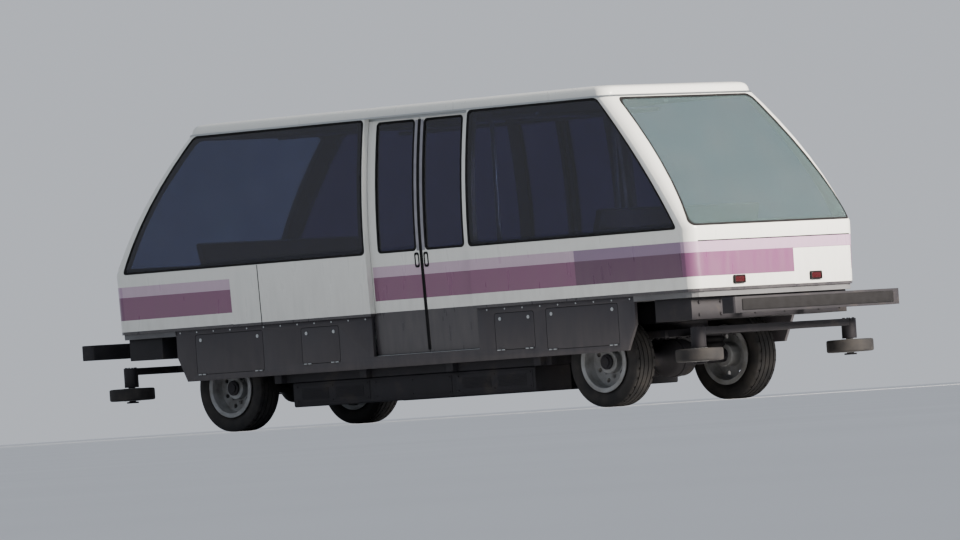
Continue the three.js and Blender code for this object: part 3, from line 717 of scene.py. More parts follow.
# Tinted glass: dark against the unlit inside, with a faint haze in patches and slow waves some 700 mm long.
def tinted(name, tint, dusted, clear, rough_low, rough_high):
    made, tree, shader, place = begin(name)
    haze = add(tree, "ShaderNodeTexNoise", {"Vector": place, "Scale": 2.6, "Detail": 4.0}).outputs["Fac"]
    tone = add(tree, "ShaderNodeValToRGB", {"Fac": haze}, ramp=((0.35, tint), (0.75, dusted)))
    rough = add(
        tree,
        "ShaderNodeMapRange",
        {"Value": haze, "To Min": rough_low, "To Max": rough_high},
    ).outputs["Result"]
    wave = add(tree, "ShaderNodeTexNoise", {"Vector": place, "Scale": 1.4}).outputs["Fac"]
    bump = add(tree, "ShaderNodeBump", {"Height": wave, "Strength": 0.25, "Distance": 0.002})
    feed(shader, {
        "Transmission Weight": clear,
        "IOR": 1.5,
        "Base Color": tone.outputs["Color"],
        "Roughness": rough,
        "Normal": bump.outputs["Normal"],
    })
    return made


side_tint = tinted("violet_grey_toughened_glass", "524E74", "5C587A", 1.0, 0.01, 0.05)
screen_tint = tinted("blue_green_laminated_glass", "A3C2C4", "B0C8C8", 0.92, 0.01, 0.05)

for end, sign in ENDS:
    for side, hand in SIDES:
        half = span(hand, OFF_MIDDLE, FAR)
        pane = duplicate(glass_layer, f"tinted_pane_{end}_{side}")
        pane.data.materials[0] = side_tint
        carve(pane, piece("outline", side_window(sign, 0, DOOR_STRIP, half), side_tint), "INTERSECT")
        smooth(pane)
        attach(pane, "car_body")
        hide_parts(f"side_glass_{end}_{side}")
        strip = duplicate(strip_layer, f"glazing_strip_{end}_{side}")
        carve(strip, piece("outer", side_window(sign, STRIP_OUT, DOOR_STRIP, half), rubber), "INTERSECT")
        carve(strip, piece("inner", side_window(sign, -STRIP_IN, DOOR_STRIP, half), rubber))
        smooth(strip)
        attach(strip, "car_body")
    forward = span(sign, OFF_MIDDLE, FAR)
    screen = duplicate(glass_layer, f"screen_pane_{end}")
    screen.data.materials[0] = screen_tint
    carve(screen, piece("outline", screen_window(0, forward), screen_tint), "INTERSECT")
    smooth(screen)
    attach(screen, "car_body")
    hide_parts(f"windscreen_{end}")
    strip = duplicate(strip_layer, f"screen_strip_{end}")
    carve(strip, piece("outer", screen_window(STRIP_OUT, forward), rubber), "INTERSECT")
    carve(strip, piece("inner", screen_window(-STRIP_IN, forward), rubber))
    smooth(strip)
    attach(strip, "car_body")

# End lamps: two small marker lamps low on each cap, screwed to the glass fibre. Each is a dark red lens
# moulded in acrylic, in a bezel of black rubber.
LAMP_Y = 0.470
LAMP_Z = 0.970
LAMP_HALF = (0.070, 0.035)
LENS_HALF = (0.058, 0.024)
BEZEL_REACH = (3.325, 3.370)
RECESS_REACH = (3.350, 3.39)
LENS_REACH = (3.345, 3.368)
BEZEL_CORNER = 0.015
LENS_CORNER = 0.010

# Dark red acrylic, moulded and glossy. Prisms 12 mm apart run up and down behind the face.
lens_red, lens, lens_shader, lens_place = begin("dark_red_acrylic")
lens_ribs = add(
    lens,
    "ShaderNodeTexWave",
    {"Vector": lens_place, "Scale": 26.0},
    bands_direction="Y",
).outputs["Fac"]
lens_tone = add(lens, "ShaderNodeValToRGB", {"Fac": lens_ribs}, ramp=((0.2, "3A0F14"), (0.9, "5C1A1E")))
lens_bump = add(lens, "ShaderNodeBump", {"Height": lens_ribs, "Strength": 0.5, "Distance": 0.001})
feed(lens_shader, {
    "Transmission Weight": 0.5,
    "IOR": 1.49,
    "Roughness": 0.12,
    "Base Color": lens_tone.outputs["Color"],
    "Normal": lens_bump.outputs["Normal"],
})


def lamp_form(name, y, half, reach, corner, material):
    outline = [
        (y - half[0], LAMP_Z - half[1]),
        (y + half[0], LAMP_Z - half[1]),
        (y + half[0], LAMP_Z + half[1]),
        (y - half[0], LAMP_Z + half[1]),
    ]
    return piece(name, prism(outline, "x", *reach, radius=corner), material)


for end, sign in ENDS:
    bezels, lenses = [], []
    for _, hand in SIDES:
        y = hand * LAMP_Y
        bezel = lamp_form("bezel", y, LAMP_HALF, span(sign, *BEZEL_REACH), BEZEL_CORNER, rubber)
        edged(bezel, 0.004)
        carve(bezel, lamp_form("recess", y, LENS_HALF, span(sign, *RECESS_REACH), LENS_CORNER, rubber))
        bezels.append(bezel)
        face = lamp_form("lens", y, LENS_HALF, span(sign, *LENS_REACH), LENS_CORNER, lens_red)
        lenses.append(edged(face, 0.006, 3))
    for name, group, slot in (
        ("lamp_bezels", bezels, "bumper_rubber"),
        ("lamp_lenses", lenses, "tinted_glass"),
    ):
        whole = bmesh.new()
        for part in group:
            whole.from_mesh(part.data)
        lamps = piece(f"{name}_{end}", whole, group[0].data.materials[0])
        for part in group:
            discard(part)
        smooth(lamps)
        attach(lamps, "car_body")

# Doors: two leaves a side that part along the car, hung from rails and running just inside the walls. Each is
# a glass-fibre skin on an aluminium frame, lined inside, with a broad outer stile, a tall pane, and soft
# rubber where the leaves meet.
LEAF_THICK = 0.040
LEAF_LOW = 0.556
LEAF_GAP = 0.003
DOOR_LAP = 0.018
OUTER_STILE = 0.100
MEETING_STILE = 0.055
LEAF_RAIL = 0.022
PANE_IN = 0.003
PANE_CORNER = 0.030
BEAD_PROUD = 0.002
BEAD_THICK = 0.0065
BEAD_OUT = 0.009
BEAD_IN = 0.010
BEAD_CORNERS = (0.038, 0.022)
NOSE_PROUD = 0.004
NOSE_WIDTH = 0.014
NOSE_PAST = 0.0015
NOSE_HEIGHT = (0.575, 2.495)
COVER_PROUD = 0.0015
COVER_THICK = 0.003
COVER_EDGE = 0.010
COVER_LOW = BELT + 0.002
CUP_FROM = 0.028
CUP_TO = 0.078
CUP_HEIGHT = (1.262, 1.388)
CUP_PROUD = 0.005
CUP_DEPTH = 0.020
CUP_RIM = 0.010
CUP_HOLLOW_HEIGHT = (1.280, 1.370)
CUP_CORNERS = (0.018, 0.014)
# A face is on the leaf's inner side if its normal points this far inwards.
INNER_FACING = 0.9

# Grey stoved enamel on the meeting stiles, dulled in patches some 80 mm across.
stile_enamel, stile, stile_shader, stile_place = begin("grey_stoved_enamel")
stile_worn = add(
    stile,
    "ShaderNodeTexNoise",
    {"Vector": stile_place, "Scale": 12.0, "Detail": 4.0},
).outputs["Fac"]
stile_tone = add(stile, "ShaderNodeValToRGB", {"Fac": stile_worn}, ramp=((0.35, "85858E"), (0.75, "75757D")))
stile_rough = add(
    stile,
    "ShaderNodeMapRange",
    {"Value": stile_worn, "To Min": 0.3, "To Max": 0.55},
).outputs["Result"]
feed(stile_shader, {"Base Color": stile_tone.outputs["Color"], "Roughness": stile_rough})


def leaf_slab(name, inset, thickness, hand, x_range, material, low=LEAF_LOW, high=LEAF_HIGH):
    heights = (low, *BODY_ROWS, high)
    section = [(hand * (side_reach(z) - LEAF_IN - inset), z) for z in heights]
    section += [(hand * (side_reach(z) - LEAF_IN - inset - thickness), z) for z in reversed(heights)]
    return piece(name, prism(section, "x", *x_range), material)


def upright(x_range, z_range, y_range, material, radius):
    outline = [
        (x_range[0], z_range[0]),
        (x_range[1], z_range[0]),
        (x_range[1], z_range[1]),
        (x_range[0], z_range[1]),
    ]
    return piece("upright", prism(outline, "y", *y_range, radius=radius), material)


def wider(bounds, by):
    return bounds[0] - by, bounds[1] + by


for end, sign in ENDS:
    meeting = DOOR_MEETING + sign * LEAF_GAP
    edge = DOOR_EDGES[1] + DOOR_LAP if sign > 0 else DOOR_EDGES[0] - DOOR_LAP
    reach = (meeting, edge) if sign > 0 else (edge, meeting)
    clear = (
        (meeting + MEETING_STILE, edge - DOOR_LAP - OUTER_STILE)
        if sign > 0
        else (edge + DOOR_LAP + OUTER_STILE, meeting - MEETING_STILE)
    )
    window = (BELT + 0.010, LEAF_HIGH - LEAF_RAIL)
    for side, hand in SIDES:
        half = span(hand, OFF_MIDDLE, FAR)
        body = f"door_{end}_{side}"
        leaf = leaf_slab(f"door_leaf_skin_{end}_{side}", 0, LEAF_THICK, hand, reach, gelcoat)
        carve(leaf, upright(clear, window, half, rubber, PANE_CORNER))
        edged(leaf, 0.002)
        leaf.data.materials.append(lining)
        for face in leaf.data.polygons:
            if face.normal.y * hand < -INNER_FACING:
                face.material_index = len(leaf.data.materials) - 1
        even(leaf)
        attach(leaf, body)
        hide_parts(f"door_leaf_{end}_{side}")

        pane = leaf_slab(f"door_pane_{end}_{side}", PANE_IN, GLASS_THICK, hand, reach, side_tint)
        opening = upright(wider(clear, -SEAM), wider(window, -SEAM), half, side_tint, PANE_CORNER)
        carve(pane, opening, "INTERSECT")
        smooth(pane)
        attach(pane, body)
        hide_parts(f"door_glass_{end}_{side}")

        strip = leaf_slab(f"door_glazing_strip_{end}_{side}", -BEAD_PROUD, BEAD_THICK, hand, reach, rubber)
        outer = upright(wider(clear, BEAD_OUT), wider(window, BEAD_OUT), half, rubber, BEAD_CORNERS[0])
        carve(strip, outer, "INTERSECT")
        inner = upright(wider(clear, -BEAD_IN), wider(window, -BEAD_IN), half, rubber, BEAD_CORNERS[1])
        carve(strip, inner)
        smooth(strip)
        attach(strip, body)

        nose_range = (
            (meeting - NOSE_PAST, meeting + NOSE_WIDTH)
            if sign > 0
            else (meeting - NOSE_WIDTH, meeting + NOSE_PAST)
        )
        nose_name = f"door_nose_{end}_{side}"
        nose_thick = LEAF_THICK + 2 * NOSE_PROUD
        nose = leaf_slab(nose_name, -NOSE_PROUD, nose_thick, hand, nose_range, rubber, *NOSE_HEIGHT)
        edged(nose, 0.0035, 3)
        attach(nose, body)

        stile_range = (
            (meeting + NOSE_WIDTH, meeting + MEETING_STILE - COVER_EDGE)
            if sign > 0
            else (meeting - MEETING_STILE + COVER_EDGE, meeting - NOSE_WIDTH)
        )
        cover_name = f"meeting_stile_cover_{end}_{side}"
        cover = leaf_slab(cover_name, -COVER_PROUD, COVER_THICK, hand, stile_range, stile_enamel)
        carve(cover, upright(stile_range, (COVER_LOW, window[1]), half, stile_enamel, 0.002), "INTERSECT")
        smooth(cover)
        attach(cover, body)

        cup_range = span(sign, CUP_FROM, CUP_TO)
        cup_range = (DOOR_MEETING + cup_range[0], DOOR_MEETING + cup_range[1])
        cup = leaf_slab(f"pull_cup_{end}_{side}", -CUP_PROUD, CUP_DEPTH, hand, reach, rubber)
        carve(cup, upright(cup_range, CUP_HEIGHT, half, rubber, CUP_CORNERS[0]), "INTERSECT")
        hollow = leaf_slab("hollow", -0.02, 0.030, hand, reach, rubber)
        finger_room = upright(wider(cup_range, -CUP_RIM), CUP_HOLLOW_HEIGHT, half, rubber, CUP_CORNERS[1])
        carve(hollow, finger_room, "INTERSECT")
        carve(cup, hollow)
        edged(cup, 0.0015)
        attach(cup, body)

# Ceiling lights: two long opal acrylic covers that clip over slim aluminium trays. The trays are screwed up
# under the roof lining.
LIGHT_Y = 0.40
TRAY_REACH = (-1.45, 1.45)
TRAY_HALF = 0.062
TRAY_HEIGHT = (2.590, 2.606)
COVER_REACH = (-1.44, 1.44)
COVER_HALF = 0.05
COVER_HEIGHT = (2.566, 2.591)

# Opal acrylic, extruded: milky and smooth, with dust in patches.
opal, milk, milk_shader, milk_place = begin("opal_acrylic")
milk_dust = add(
    milk,
    "ShaderNodeTexNoise",
    {"Vector": milk_place, "Scale": 5.0, "Detail": 4.0},
).outputs["Fac"]
milk_tone = add(milk, "ShaderNodeValToRGB", {"Fac": milk_dust}, ramp=((0.35, "C9C7BC"), (0.7, "D8D6CC")))
feed(milk_shader, {"Roughness": 0.3, "Subsurface Weight": 0.2, "Base Color": milk_tone.outputs["Color"]})
for side, hand in SIDES:
    y = hand * LIGHT_Y
    tray = block(TRAY_REACH, (y - TRAY_HALF, y + TRAY_HALF), TRAY_HEIGHT, 0.003)
    tray = smooth(piece(f"light_tray_{side}", tray, aluminium))
    cover = block(COVER_REACH, (y - COVER_HALF, y + COVER_HALF), COVER_HEIGHT)
    cover = edged(piece(f"light_cover_{side}", cover, opal), 0.014, 4)
    for part, slot in ((tray, "stainless"), (cover, "body_white")):
        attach(part, "car_body")

# Floor: plywood under studded grey rubber sheet, low in the middle and raised over each truck. Ribbed
# aluminium treads edge both doorways.

# Grey rubber sheet, moulded: matt, and worn in patches some 300 mm across.
floor_rubber, sheet, sheet_shader, sheet_place = begin("studded_grey_rubber_sheet")
sheet_wear = add(
    sheet,
    "ShaderNodeTexNoise",
    {"Vector": sheet_place, "Scale": 3.0, "Detail": 5.0},
).outputs["Fac"]
sheet_tone = add(sheet, "ShaderNodeValToRGB", {"Fac": sheet_wear}, ramp=((0.3, "4C4D50"), (0.75, "626467")))
sheet_rough = add(
    sheet,
    "ShaderNodeMapRange",
    {"Value": sheet_wear, "To Min": 0.55, "To Max": 0.9},
).outputs["Result"]
# Round studs 25 mm apart.
stud_cells = add(
    sheet,
    "ShaderNodeTexVoronoi",
    {"Vector": sheet_place, "Scale": 40.0, "Randomness": 0.0},
).outputs["Distance"]
stud_top = add(
    sheet,
    "ShaderNodeMapRange",
    {"Value": stud_cells, "From Min": 0.30, "From Max": 0.42, "To Min": 1.0, "To Max": 0.0},
).outputs["Result"]
stud_bump = add(sheet, "ShaderNodeBump", {"Height": stud_top, "Strength": 0.6, "Distance": 0.001})
feed(sheet_shader, {
    "Base Color": sheet_tone.outputs["Color"],
    "Roughness": sheet_rough,
    "Normal": stud_bump.outputs["Normal"],
})


def refinish(node, material):
    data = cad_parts[node].data
    data.materials.clear()
    data.materials.append(material)


refinish("floor_middle", floor_rubber)
for end, _ in ENDS:
    refinish(f"platform_{end}", floor_rubber)

TREAD_PAST = 0.015
RIB_PAST = 0.012
TREAD_Y = (0.850, 0.944)
TREAD_HEIGHT = (0.5495, 0.5525)
TREAD_RIBS = 9
RIB_START = 0.858
RIB_PITCH = 0.009
RIB_WIDTH = 0.004
RIB_HEIGHT = (0.552, 0.5538)
for side, hand in SIDES:
    tread = block(wider(DOOR_EDGES, TREAD_PAST), span(hand, *TREAD_Y), TREAD_HEIGHT)
    for i in range(TREAD_RIBS):
        y = RIB_START + RIB_PITCH * i
        rib = block(wider(DOOR_EDGES, RIB_PAST), span(hand, y, y + RIB_WIDTH), RIB_HEIGHT)
        tread = merged((tread, rib))
    tread = smooth(piece(f"door_tread_{side}", tread, aluminium))
    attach(tread, "car_body")

# Seat benches: one dark glass-fibre moulding across each end, with four shallow seats side by side, a low
# back, and a shelf that runs on under the windscreen.
BENCH = (
    (1.585, 0.886), (3.285, 0.886), (3.285, 1.345), (3.260, 1.370), (2.290, 1.380), (2.345, 1.600),
    (2.320, 1.618), (2.290, 1.605), (2.110, 1.010), (2.075, 0.972), (1.650, 0.995), (1.600, 0.988),
    (1.585, 0.960),
)
SEAT_PITCH = 0.455
SEAT_DISH = 0.022
SEAT_FROM, SEAT_TO = 1.66, 2.07
BACK_FROM, BACK_TO = 1.04, 1.57
# Where the moulding is cut into a grid that can be dished.
SEAT_CUTS = (1.70, 1.76, 1.82, 1.88, 1.94, 2.00, 2.05, 2.16, 2.21, 2.26)
BACK_CUTS = (1.05, 1.12, 1.20, 1.28, 1.35, 1.43, 1.52)
ACROSS_FROM = -0.92
ACROSS_STEP = 0.0575
ACROSS_CUTS = 33
PAST_WALL = 1.1

# Dark glass fibre with a flecked gelcoat: a light gloss, flecks 11 mm across, duller in patches.
moulding, seat, seat_shader, seat_place = begin("dark_glass_fibre_seat")
seat_fleck = add(
    seat,
    "ShaderNodeTexNoise",
    {"Vector": seat_place, "Scale": 90.0, "Detail": 3.0},
).outputs["Fac"]
seat_tone = add(seat, "ShaderNodeValToRGB", {"Fac": seat_fleck}, ramp=((0.4, "332C3B"), (0.7, "41394A")))
seat_rub = add(seat, "ShaderNodeTexNoise", {"Vector": seat_place, "Scale": 4.0, "Detail": 4.0}).outputs["Fac"]
seat_rough = add(
    seat,
    "ShaderNodeMapRange",
    {"Value": seat_rub, "To Min": 0.25, "To Max": 0.5},
).outputs["Result"]
feed(seat_shader, {"Coat Weight": 0.2, "Base Color": seat_tone.outputs["Color"], "Roughness": seat_rough})

for end, sign in ENDS:
    bench_form = prism([(sign * x, z) for x, z in BENCH], "y", -PAST_WALL, PAST_WALL)
    cuts = [((x * sign, 0, 0), (1, 0, 0)) for x in SEAT_CUTS]
    cuts += [((0, 0, z), (0, 0, 1)) for z in BACK_CUTS]
    cuts += [((0, ACROSS_FROM + ACROSS_STEP * i, 0), (0, 1, 0)) for i in range(ACROSS_CUTS)]
    for where, facing in cuts:
        everything = bench_form.verts[:] + bench_form.edges[:] + bench_form.faces[:]
        bmesh.ops.bisect_plane(bench_form, geom=everything, plane_co=where, plane_no=facing)
    for vert in bench_form.verts:
        x, y, z = sign * vert.co.x, vert.co.y, vert.co.z
        place = (y / SEAT_PITCH) % 1.0
        hollow = max(0.0, 1 - (2 * place - 1) ** 2) ** 0.7 if abs(y) < 2 * SEAT_PITCH else 0.0
        if z > 0.95 and SEAT_FROM < x < SEAT_TO:
            along_seat = (x - SEAT_FROM) / (SEAT_TO - SEAT_FROM)
            vert.co.z -= SEAT_DISH * hollow * math.sin(math.pi * along_seat)
        if BACK_FROM < z < BACK_TO and 2.0 < x < 2.29:
            up_back = (z - BACK_FROM) / (BACK_TO - BACK_FROM)
            vert.co.x += sign * SEAT_DISH * hollow * math.sin(math.pi * up_back)
    bench = piece(f"moulded_bench_{end}", bench_form, moulding)
    within = body_volume(WALL + SEAM, ROOF_THICKNESS + SEAM, OPEN_BOTTOM, moulding)
    carve(bench, within, "INTERSECT")
    smooth(bench, 40)
    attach(bench, "car_body")
    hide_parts(f"end_bench_{end}")

# Handrails: 35 mm brushed stainless tube, four posts beside the doorways tied by rails under the ceiling,
# each welded in a saddle and standing on a screwed flange.
POLE_RADIUS = 0.0175
POLE_Y = 0.740
POLE_X = wider(DOOR_EDGES, 0.110)
POLE_FOOT, POLE_HEAD = 0.5505, 2.594
HAND_RAIL_Z = 2.450
HAND_RAIL_HALF = 1.5
SADDLE_HALF = 0.026
SADDLE_RADIUS = 0.0215
FLANGE_TOP = 0.557
FLANGE_RADII = (0.042, 0.038)

# Stainless tube: bright metal, brushed. The brushing is drawn 1.1 mm wide, coarser than real.
stainless, tube, tube_shader, tube_place = begin("brushed_stainless_tube")
tube_brush = add(
    tube,
    "ShaderNodeTexNoise",
    {"Vector": tube_place, "Scale": 900.0, "Detail": 1.0},
).outputs["Fac"]
tube_tone = add(tube, "ShaderNodeValToRGB", {"Fac": tube_brush}, ramp=((0.3, "A9ACAE"), (0.7, "C3C6C8")))
tube_rough = add(
    tube,
    "ShaderNodeMapRange",
    {"Value": tube_brush, "To Min": 0.22, "To Max": 0.38},
).outputs["Result"]
feed(tube_shader, {"Metallic": 1.0, "Base Color": tube_tone.outputs["Color"], "Roughness": tube_rough})


def rod(axis, centre, low, high, radius, segments=20, far_radius=None):
    bm = bmesh.new()
    turned = {
        "x": Matrix.Rotation(math.pi / 2, 4, "Y"),
        "y": Matrix.Rotation(-math.pi / 2, 4, "X"),
        "z": Matrix(),
    }[axis]
    middle = Vector(centre)
    middle["xyz".index(axis)] = (low + high) / 2
    bmesh.ops.create_cone(
        bm,
        cap_ends=True,
        segments=segments,
        radius1=radius,
        radius2=radius if far_radius is None else far_radius,
        depth=high - low,
        matrix=Matrix.Translation(middle) @ turned,
    )
    return bm


rails = []
for x in POLE_X:
    rails.append(rod("y", (x, 0, HAND_RAIL_Z), -POLE_Y, POLE_Y, POLE_RADIUS * 0.98))
    for _, hand in SIDES:
        pole = (x, hand * POLE_Y, 0)
        rails.append(rod("z", pole, POLE_FOOT, POLE_HEAD, POLE_RADIUS))
        rails.append(rod("z", pole, POLE_FOOT, FLANGE_TOP, FLANGE_RADII[0], 24, FLANGE_RADII[1]))
        rails.append(rod("z", pole, HAND_RAIL_Z - SADDLE_HALF, HAND_RAIL_Z + SADDLE_HALF, SADDLE_RADIUS))
for _, hand in SIDES:
    rail = (0, hand * POLE_Y, HAND_RAIL_Z)
    rails.append(rod("x", rail, -HAND_RAIL_HALF, HAND_RAIL_HALF, POLE_RADIUS * 0.99))
handrails = smooth(piece("stainless_handrails", merged(rails), stainless))
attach(handrails, "car_body")
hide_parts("handrails")

# Skirts: dark glass-fibre side panels below the body, cut away under the doors and slanted at the ends, with
# hinged access panels that close with quarter-turn latches.
SKIRT_IN = 0.945
SKIRT_OUT = 0.975
SKIRT_LOW = 0.450
SKIRT_END = 2.650
SKIRT_RAKE = 0.105
SKIRT_SHOULDER = 0.660
SKIRT_TOP = BODY_BOTTOM - SEAM
FLOOR_TOP = 0.550
PANEL_GAP = 0.004
GROOVE_FLOOR = 0.967
LATCH_IN = 0.06
LATCH_DOWN = 0.045
LATCH_Y = (0.970, 0.9785)
LATCH_RADIUS = 0.015
TURN_BAR_Y = (0.976, 0.9797)
TURN_BAR_HALF = (0.010, 0.0025)
BARREL_Y = 0.979
BARREL_AT = (-0.025, 0.025)
BARREL_HALF = 0.018
BARREL_RADIUS = 0.0055
SCREWS = 27
SCREW_START = -2.60
SCREW_PITCH = 0.2
SCREW_Y = (0.974, 0.9775)
SCREW_Z = 0.866
SCREW_RADIUS = 0.007
SCREW_CLEAR = 0.04
ACCESS_PANELS = (
    # from, to, bottom, top
    (-2.42, -1.62, 0.505, 0.840),
    (-1.16, -0.72, 0.530, 0.830),
    (1.08, 1.52, 0.530, 0.830),
    (1.66, 2.46, 0.505, 0.840),
)

# Dark paint sprayed on glass fibre: dull, with a slow ripple, and dust in streaks 60 mm wide and 200 mm long
# that thicken towards the ground.
skirt_paint, panel, panel_shader, panel_place = begin("dark_skirt_paint")
panel_height = add(panel, "ShaderNodeSeparateXYZ", {"Vector": panel_place}).outputs["Z"]
panel_streak = add(
    panel,
    "ShaderNodeMapping",
    {"Vector": panel_place, "Scale": (7.0, 7.0, 2.0)},
).outputs["Vector"]
panel_dust = add(
    panel,
    "ShaderNodeTexNoise",
    {"Vector": panel_streak, "Scale": 2.4, "Detail": 6.0},
).outputs["Fac"]
panel_low = add(
    panel,
    "ShaderNodeMapRange",
    {"Value": panel_height, "From Min": 0.42, "From Max": 0.86, "To Min": 0.55, "To Max": 0.14},
).outputs["Result"]
panel_film = add(panel, "ShaderNodeMath", {0: panel_dust, 1: panel_low}, operation="MULTIPLY").outputs[0]
panel_tone = add(
    panel,
    "ShaderNodeMix",
    {0: panel_film, 6: linear("232229"), 7: linear("625D5C")},
    data_type="RGBA",
).outputs[2]
panel_rough = add(
    panel,
    "ShaderNodeMapRange",
    {"Value": panel_dust, "To Min": 0.36, "To Max": 0.7},
).outputs["Result"]
panel_ripple = add(panel, "ShaderNodeTexNoise", {"Vector": panel_place, "Scale": 7.0}).outputs["Fac"]
panel_bump = add(panel, "ShaderNodeBump", {"Height": panel_ripple, "Strength": 0.3, "Distance": 0.002})
feed(panel_shader, {
    "Specular IOR Level": 0.45,
    "Base Color": panel_tone,
    "Roughness": panel_rough,
    "Normal": panel_bump.outputs["Normal"],
})

for side, hand in SIDES:
    outline = [
        (-SKIRT_END + SKIRT_RAKE, SKIRT_LOW),
        (SKIRT_END - SKIRT_RAKE, SKIRT_LOW),
        (SKIRT_END, SKIRT_SHOULDER),
        (SKIRT_END, SKIRT_TOP),
        (-SKIRT_END, SKIRT_TOP),
        (-SKIRT_END, SKIRT_SHOULDER),
    ]
    skirt = prism(outline, "y", *span(hand, SKIRT_IN, SKIRT_OUT))
    skirt = piece(f"painted_skirt_{side}", skirt, skirt_paint)
    doorway = upright(wider(DOOR_EDGES, DOOR_LAP), (FLOOR_TOP, 0.95), (-2, 2), skirt_paint, 0.001)
    carve(skirt, doorway)
    for x0, x1, z0, z1 in ACCESS_PANELS:
        depth = span(hand, GROOVE_FLOOR, 1.1)
        groove = upright(wider((x0, x1), PANEL_GAP), wider((z0, z1), PANEL_GAP), depth, rubber, 0.024)
        carve(groove, upright((x0, x1), (z0, z1), (-2, 2), rubber, 0.020))
        carve(skirt, groove)
    edged(skirt, 0.003)
    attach(skirt, "car_body")
    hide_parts(f"skirt_{side}")

    fittings = []
    for x0, x1, z0, z1 in ACCESS_PANELS:
        for x in (x0 + LATCH_IN, x1 - LATCH_IN):
            z = z1 - LATCH_DOWN
            fittings.append(rod("y", (x, 0, z), *span(hand, *LATCH_Y), LATCH_RADIUS, 16))
            long, high = wider((x, x), TURN_BAR_HALF[0]), wider((z, z), TURN_BAR_HALF[1])
            fittings.append(block(long, span(hand, *TURN_BAR_Y), high, 0.0005))
            for place in BARREL_AT:
                barrel = wider((x + place, x + place), BARREL_HALF)
                fittings.append(rod("x", (0, hand * BARREL_Y, z0 - 0.002), *barrel, BARREL_RADIUS, 12))
    for i in range(SCREWS):
        x = SCREW_START + SCREW_PITCH * i
        if DOOR_EDGES[0] - SCREW_CLEAR < x < DOOR_EDGES[1] + SCREW_CLEAR:
            continue
        fittings.append(rod("y", (x, 0, SCREW_Z), *span(hand, *SCREW_Y), SCREW_RADIUS, 12))
    fitted = smooth(piece(f"skirt_latches_{side}", merged(fittings), aluminium))
    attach(fitted, "car_body")

# Frame: welded steel box sections, shop painted near black: a ladder under the low floor, and at each end a
# raised frame with a bolster, a turntable ring and a headstock. Bolts clamp the rings and the headstocks.

# Chassis paint, sprayed in the shop: matt, with dust in patches some 200 mm across and a rough skin. The skin is
# drawn at 8 mm, coarser than real.
frame_paint, steel, steel_shader, steel_place = begin("near_black_chassis_paint")
steel_dust = add(
    steel,
    "ShaderNodeTexNoise",
    {"Vector": steel_place, "Scale": 5.0, "Detail": 7.0},
).outputs["Fac"]
steel_tone = add(
    steel,
    "ShaderNodeValToRGB",
    {"Fac": steel_dust},
    ramp=((0.30, "151519"), (0.58, "1F1E23"), (0.80, "37332F")),
)
steel_rough = add(
    steel,
    "ShaderNodeMapRange",
    {"Value": steel_dust, "To Min": 0.5, "To Max": 0.8},
).outputs["Result"]
steel_skin = add(
    steel,
    "ShaderNodeTexNoise",
    {"Vector": steel_place, "Scale": 120.0, "Detail": 3.0},
).outputs["Fac"]
steel_bump = add(steel, "ShaderNodeBump", {"Height": steel_skin, "Strength": 0.3, "Distance": 0.0008})
feed(steel_shader, {
    "Specular IOR Level": 0.3,
    "Base Color": steel_tone.outputs["Color"],
    "Roughness": steel_rough,
    "Normal": steel_bump.outputs["Normal"],
})


def copy_of(node, name, material):
    bm = bmesh.new()
    bm.from_mesh(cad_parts[node].data)
    bmesh.ops.remove_doubles(bm, verts=list(bm.verts), dist=0.00002)
    bmesh.ops.dissolve_limit(bm, angle_limit=math.radians(1), verts=list(bm.verts), edges=list(bm.edges))
    return piece(name, bm, material)


def hexagon(axis, centre, low, high, radius):
    return rod(axis, centre, low, high, radius, 6)


# Evenly spaced places round an oval, in the plane across the axis.
def ring(axis, centre, radii, count, first=0.5):
    u, v = {"x": (1, 2), "y": (0, 2), "z": (0, 1)}[axis]
    spots = []
    for i in range(count):
        angle = 2 * math.pi * (i + first) / count
        spot = list(centre)
        spot[u] += radii[0] * math.cos(angle)
        spot[v] += radii[1] * math.sin(angle)
        spots.append(spot)
    return spots


TRUCK_X = 2.160
# A bolt or washer's two ends along its axis, and for a bolt down through a plate its radius as well.
RING_BOLT = (0.709, 0.722, 0.013)
RING_CIRCLE = (0.27, 0.27)
RING_BOLTS = 12
HEADSTOCK_BOLT = (3.249, 3.261)
HEADSTOCK_WASHER = (3.249, 3.2525)
HEADSTOCK_BOLTS_Y = (-0.86, -0.60, -0.18, 0.18, 0.60, 0.86)
HEADSTOCK_BOLTS_Z = (0.70, 0.80)

centre = copy_of("centre_frame", "welded_centre_frame", frame_paint)
edged(centre, 0.004)
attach(centre, "car_body")
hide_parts("centre_frame")
for end, sign in ENDS:
    end_frame = copy_of(f"end_frame_{end}", f"welded_end_frame_{end}", frame_paint)
    edged(end_frame, 0.004)
    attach(end_frame, "car_body")
    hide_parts(f"end_frame_{end}")
    heads = []
    for spot in ring("z", (sign * TRUCK_X, 0, 0), RING_CIRCLE, RING_BOLTS):
        heads.append(hexagon("z", spot, *RING_BOLT))
    for y in HEADSTOCK_BOLTS_Y:
        for z in HEADSTOCK_BOLTS_Z:
            heads.append(hexagon("x", (0, y, z), *span(sign, *HEADSTOCK_BOLT), 0.012))
            heads.append(rod("x", (0, y, z), *span(sign, *HEADSTOCK_WASHER), 0.0165, 16))
    bolts = piece(f"headstock_bolts_{end}", merged(heads), frame_paint)
    smooth(bolts)
    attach(bolts, "car_body")

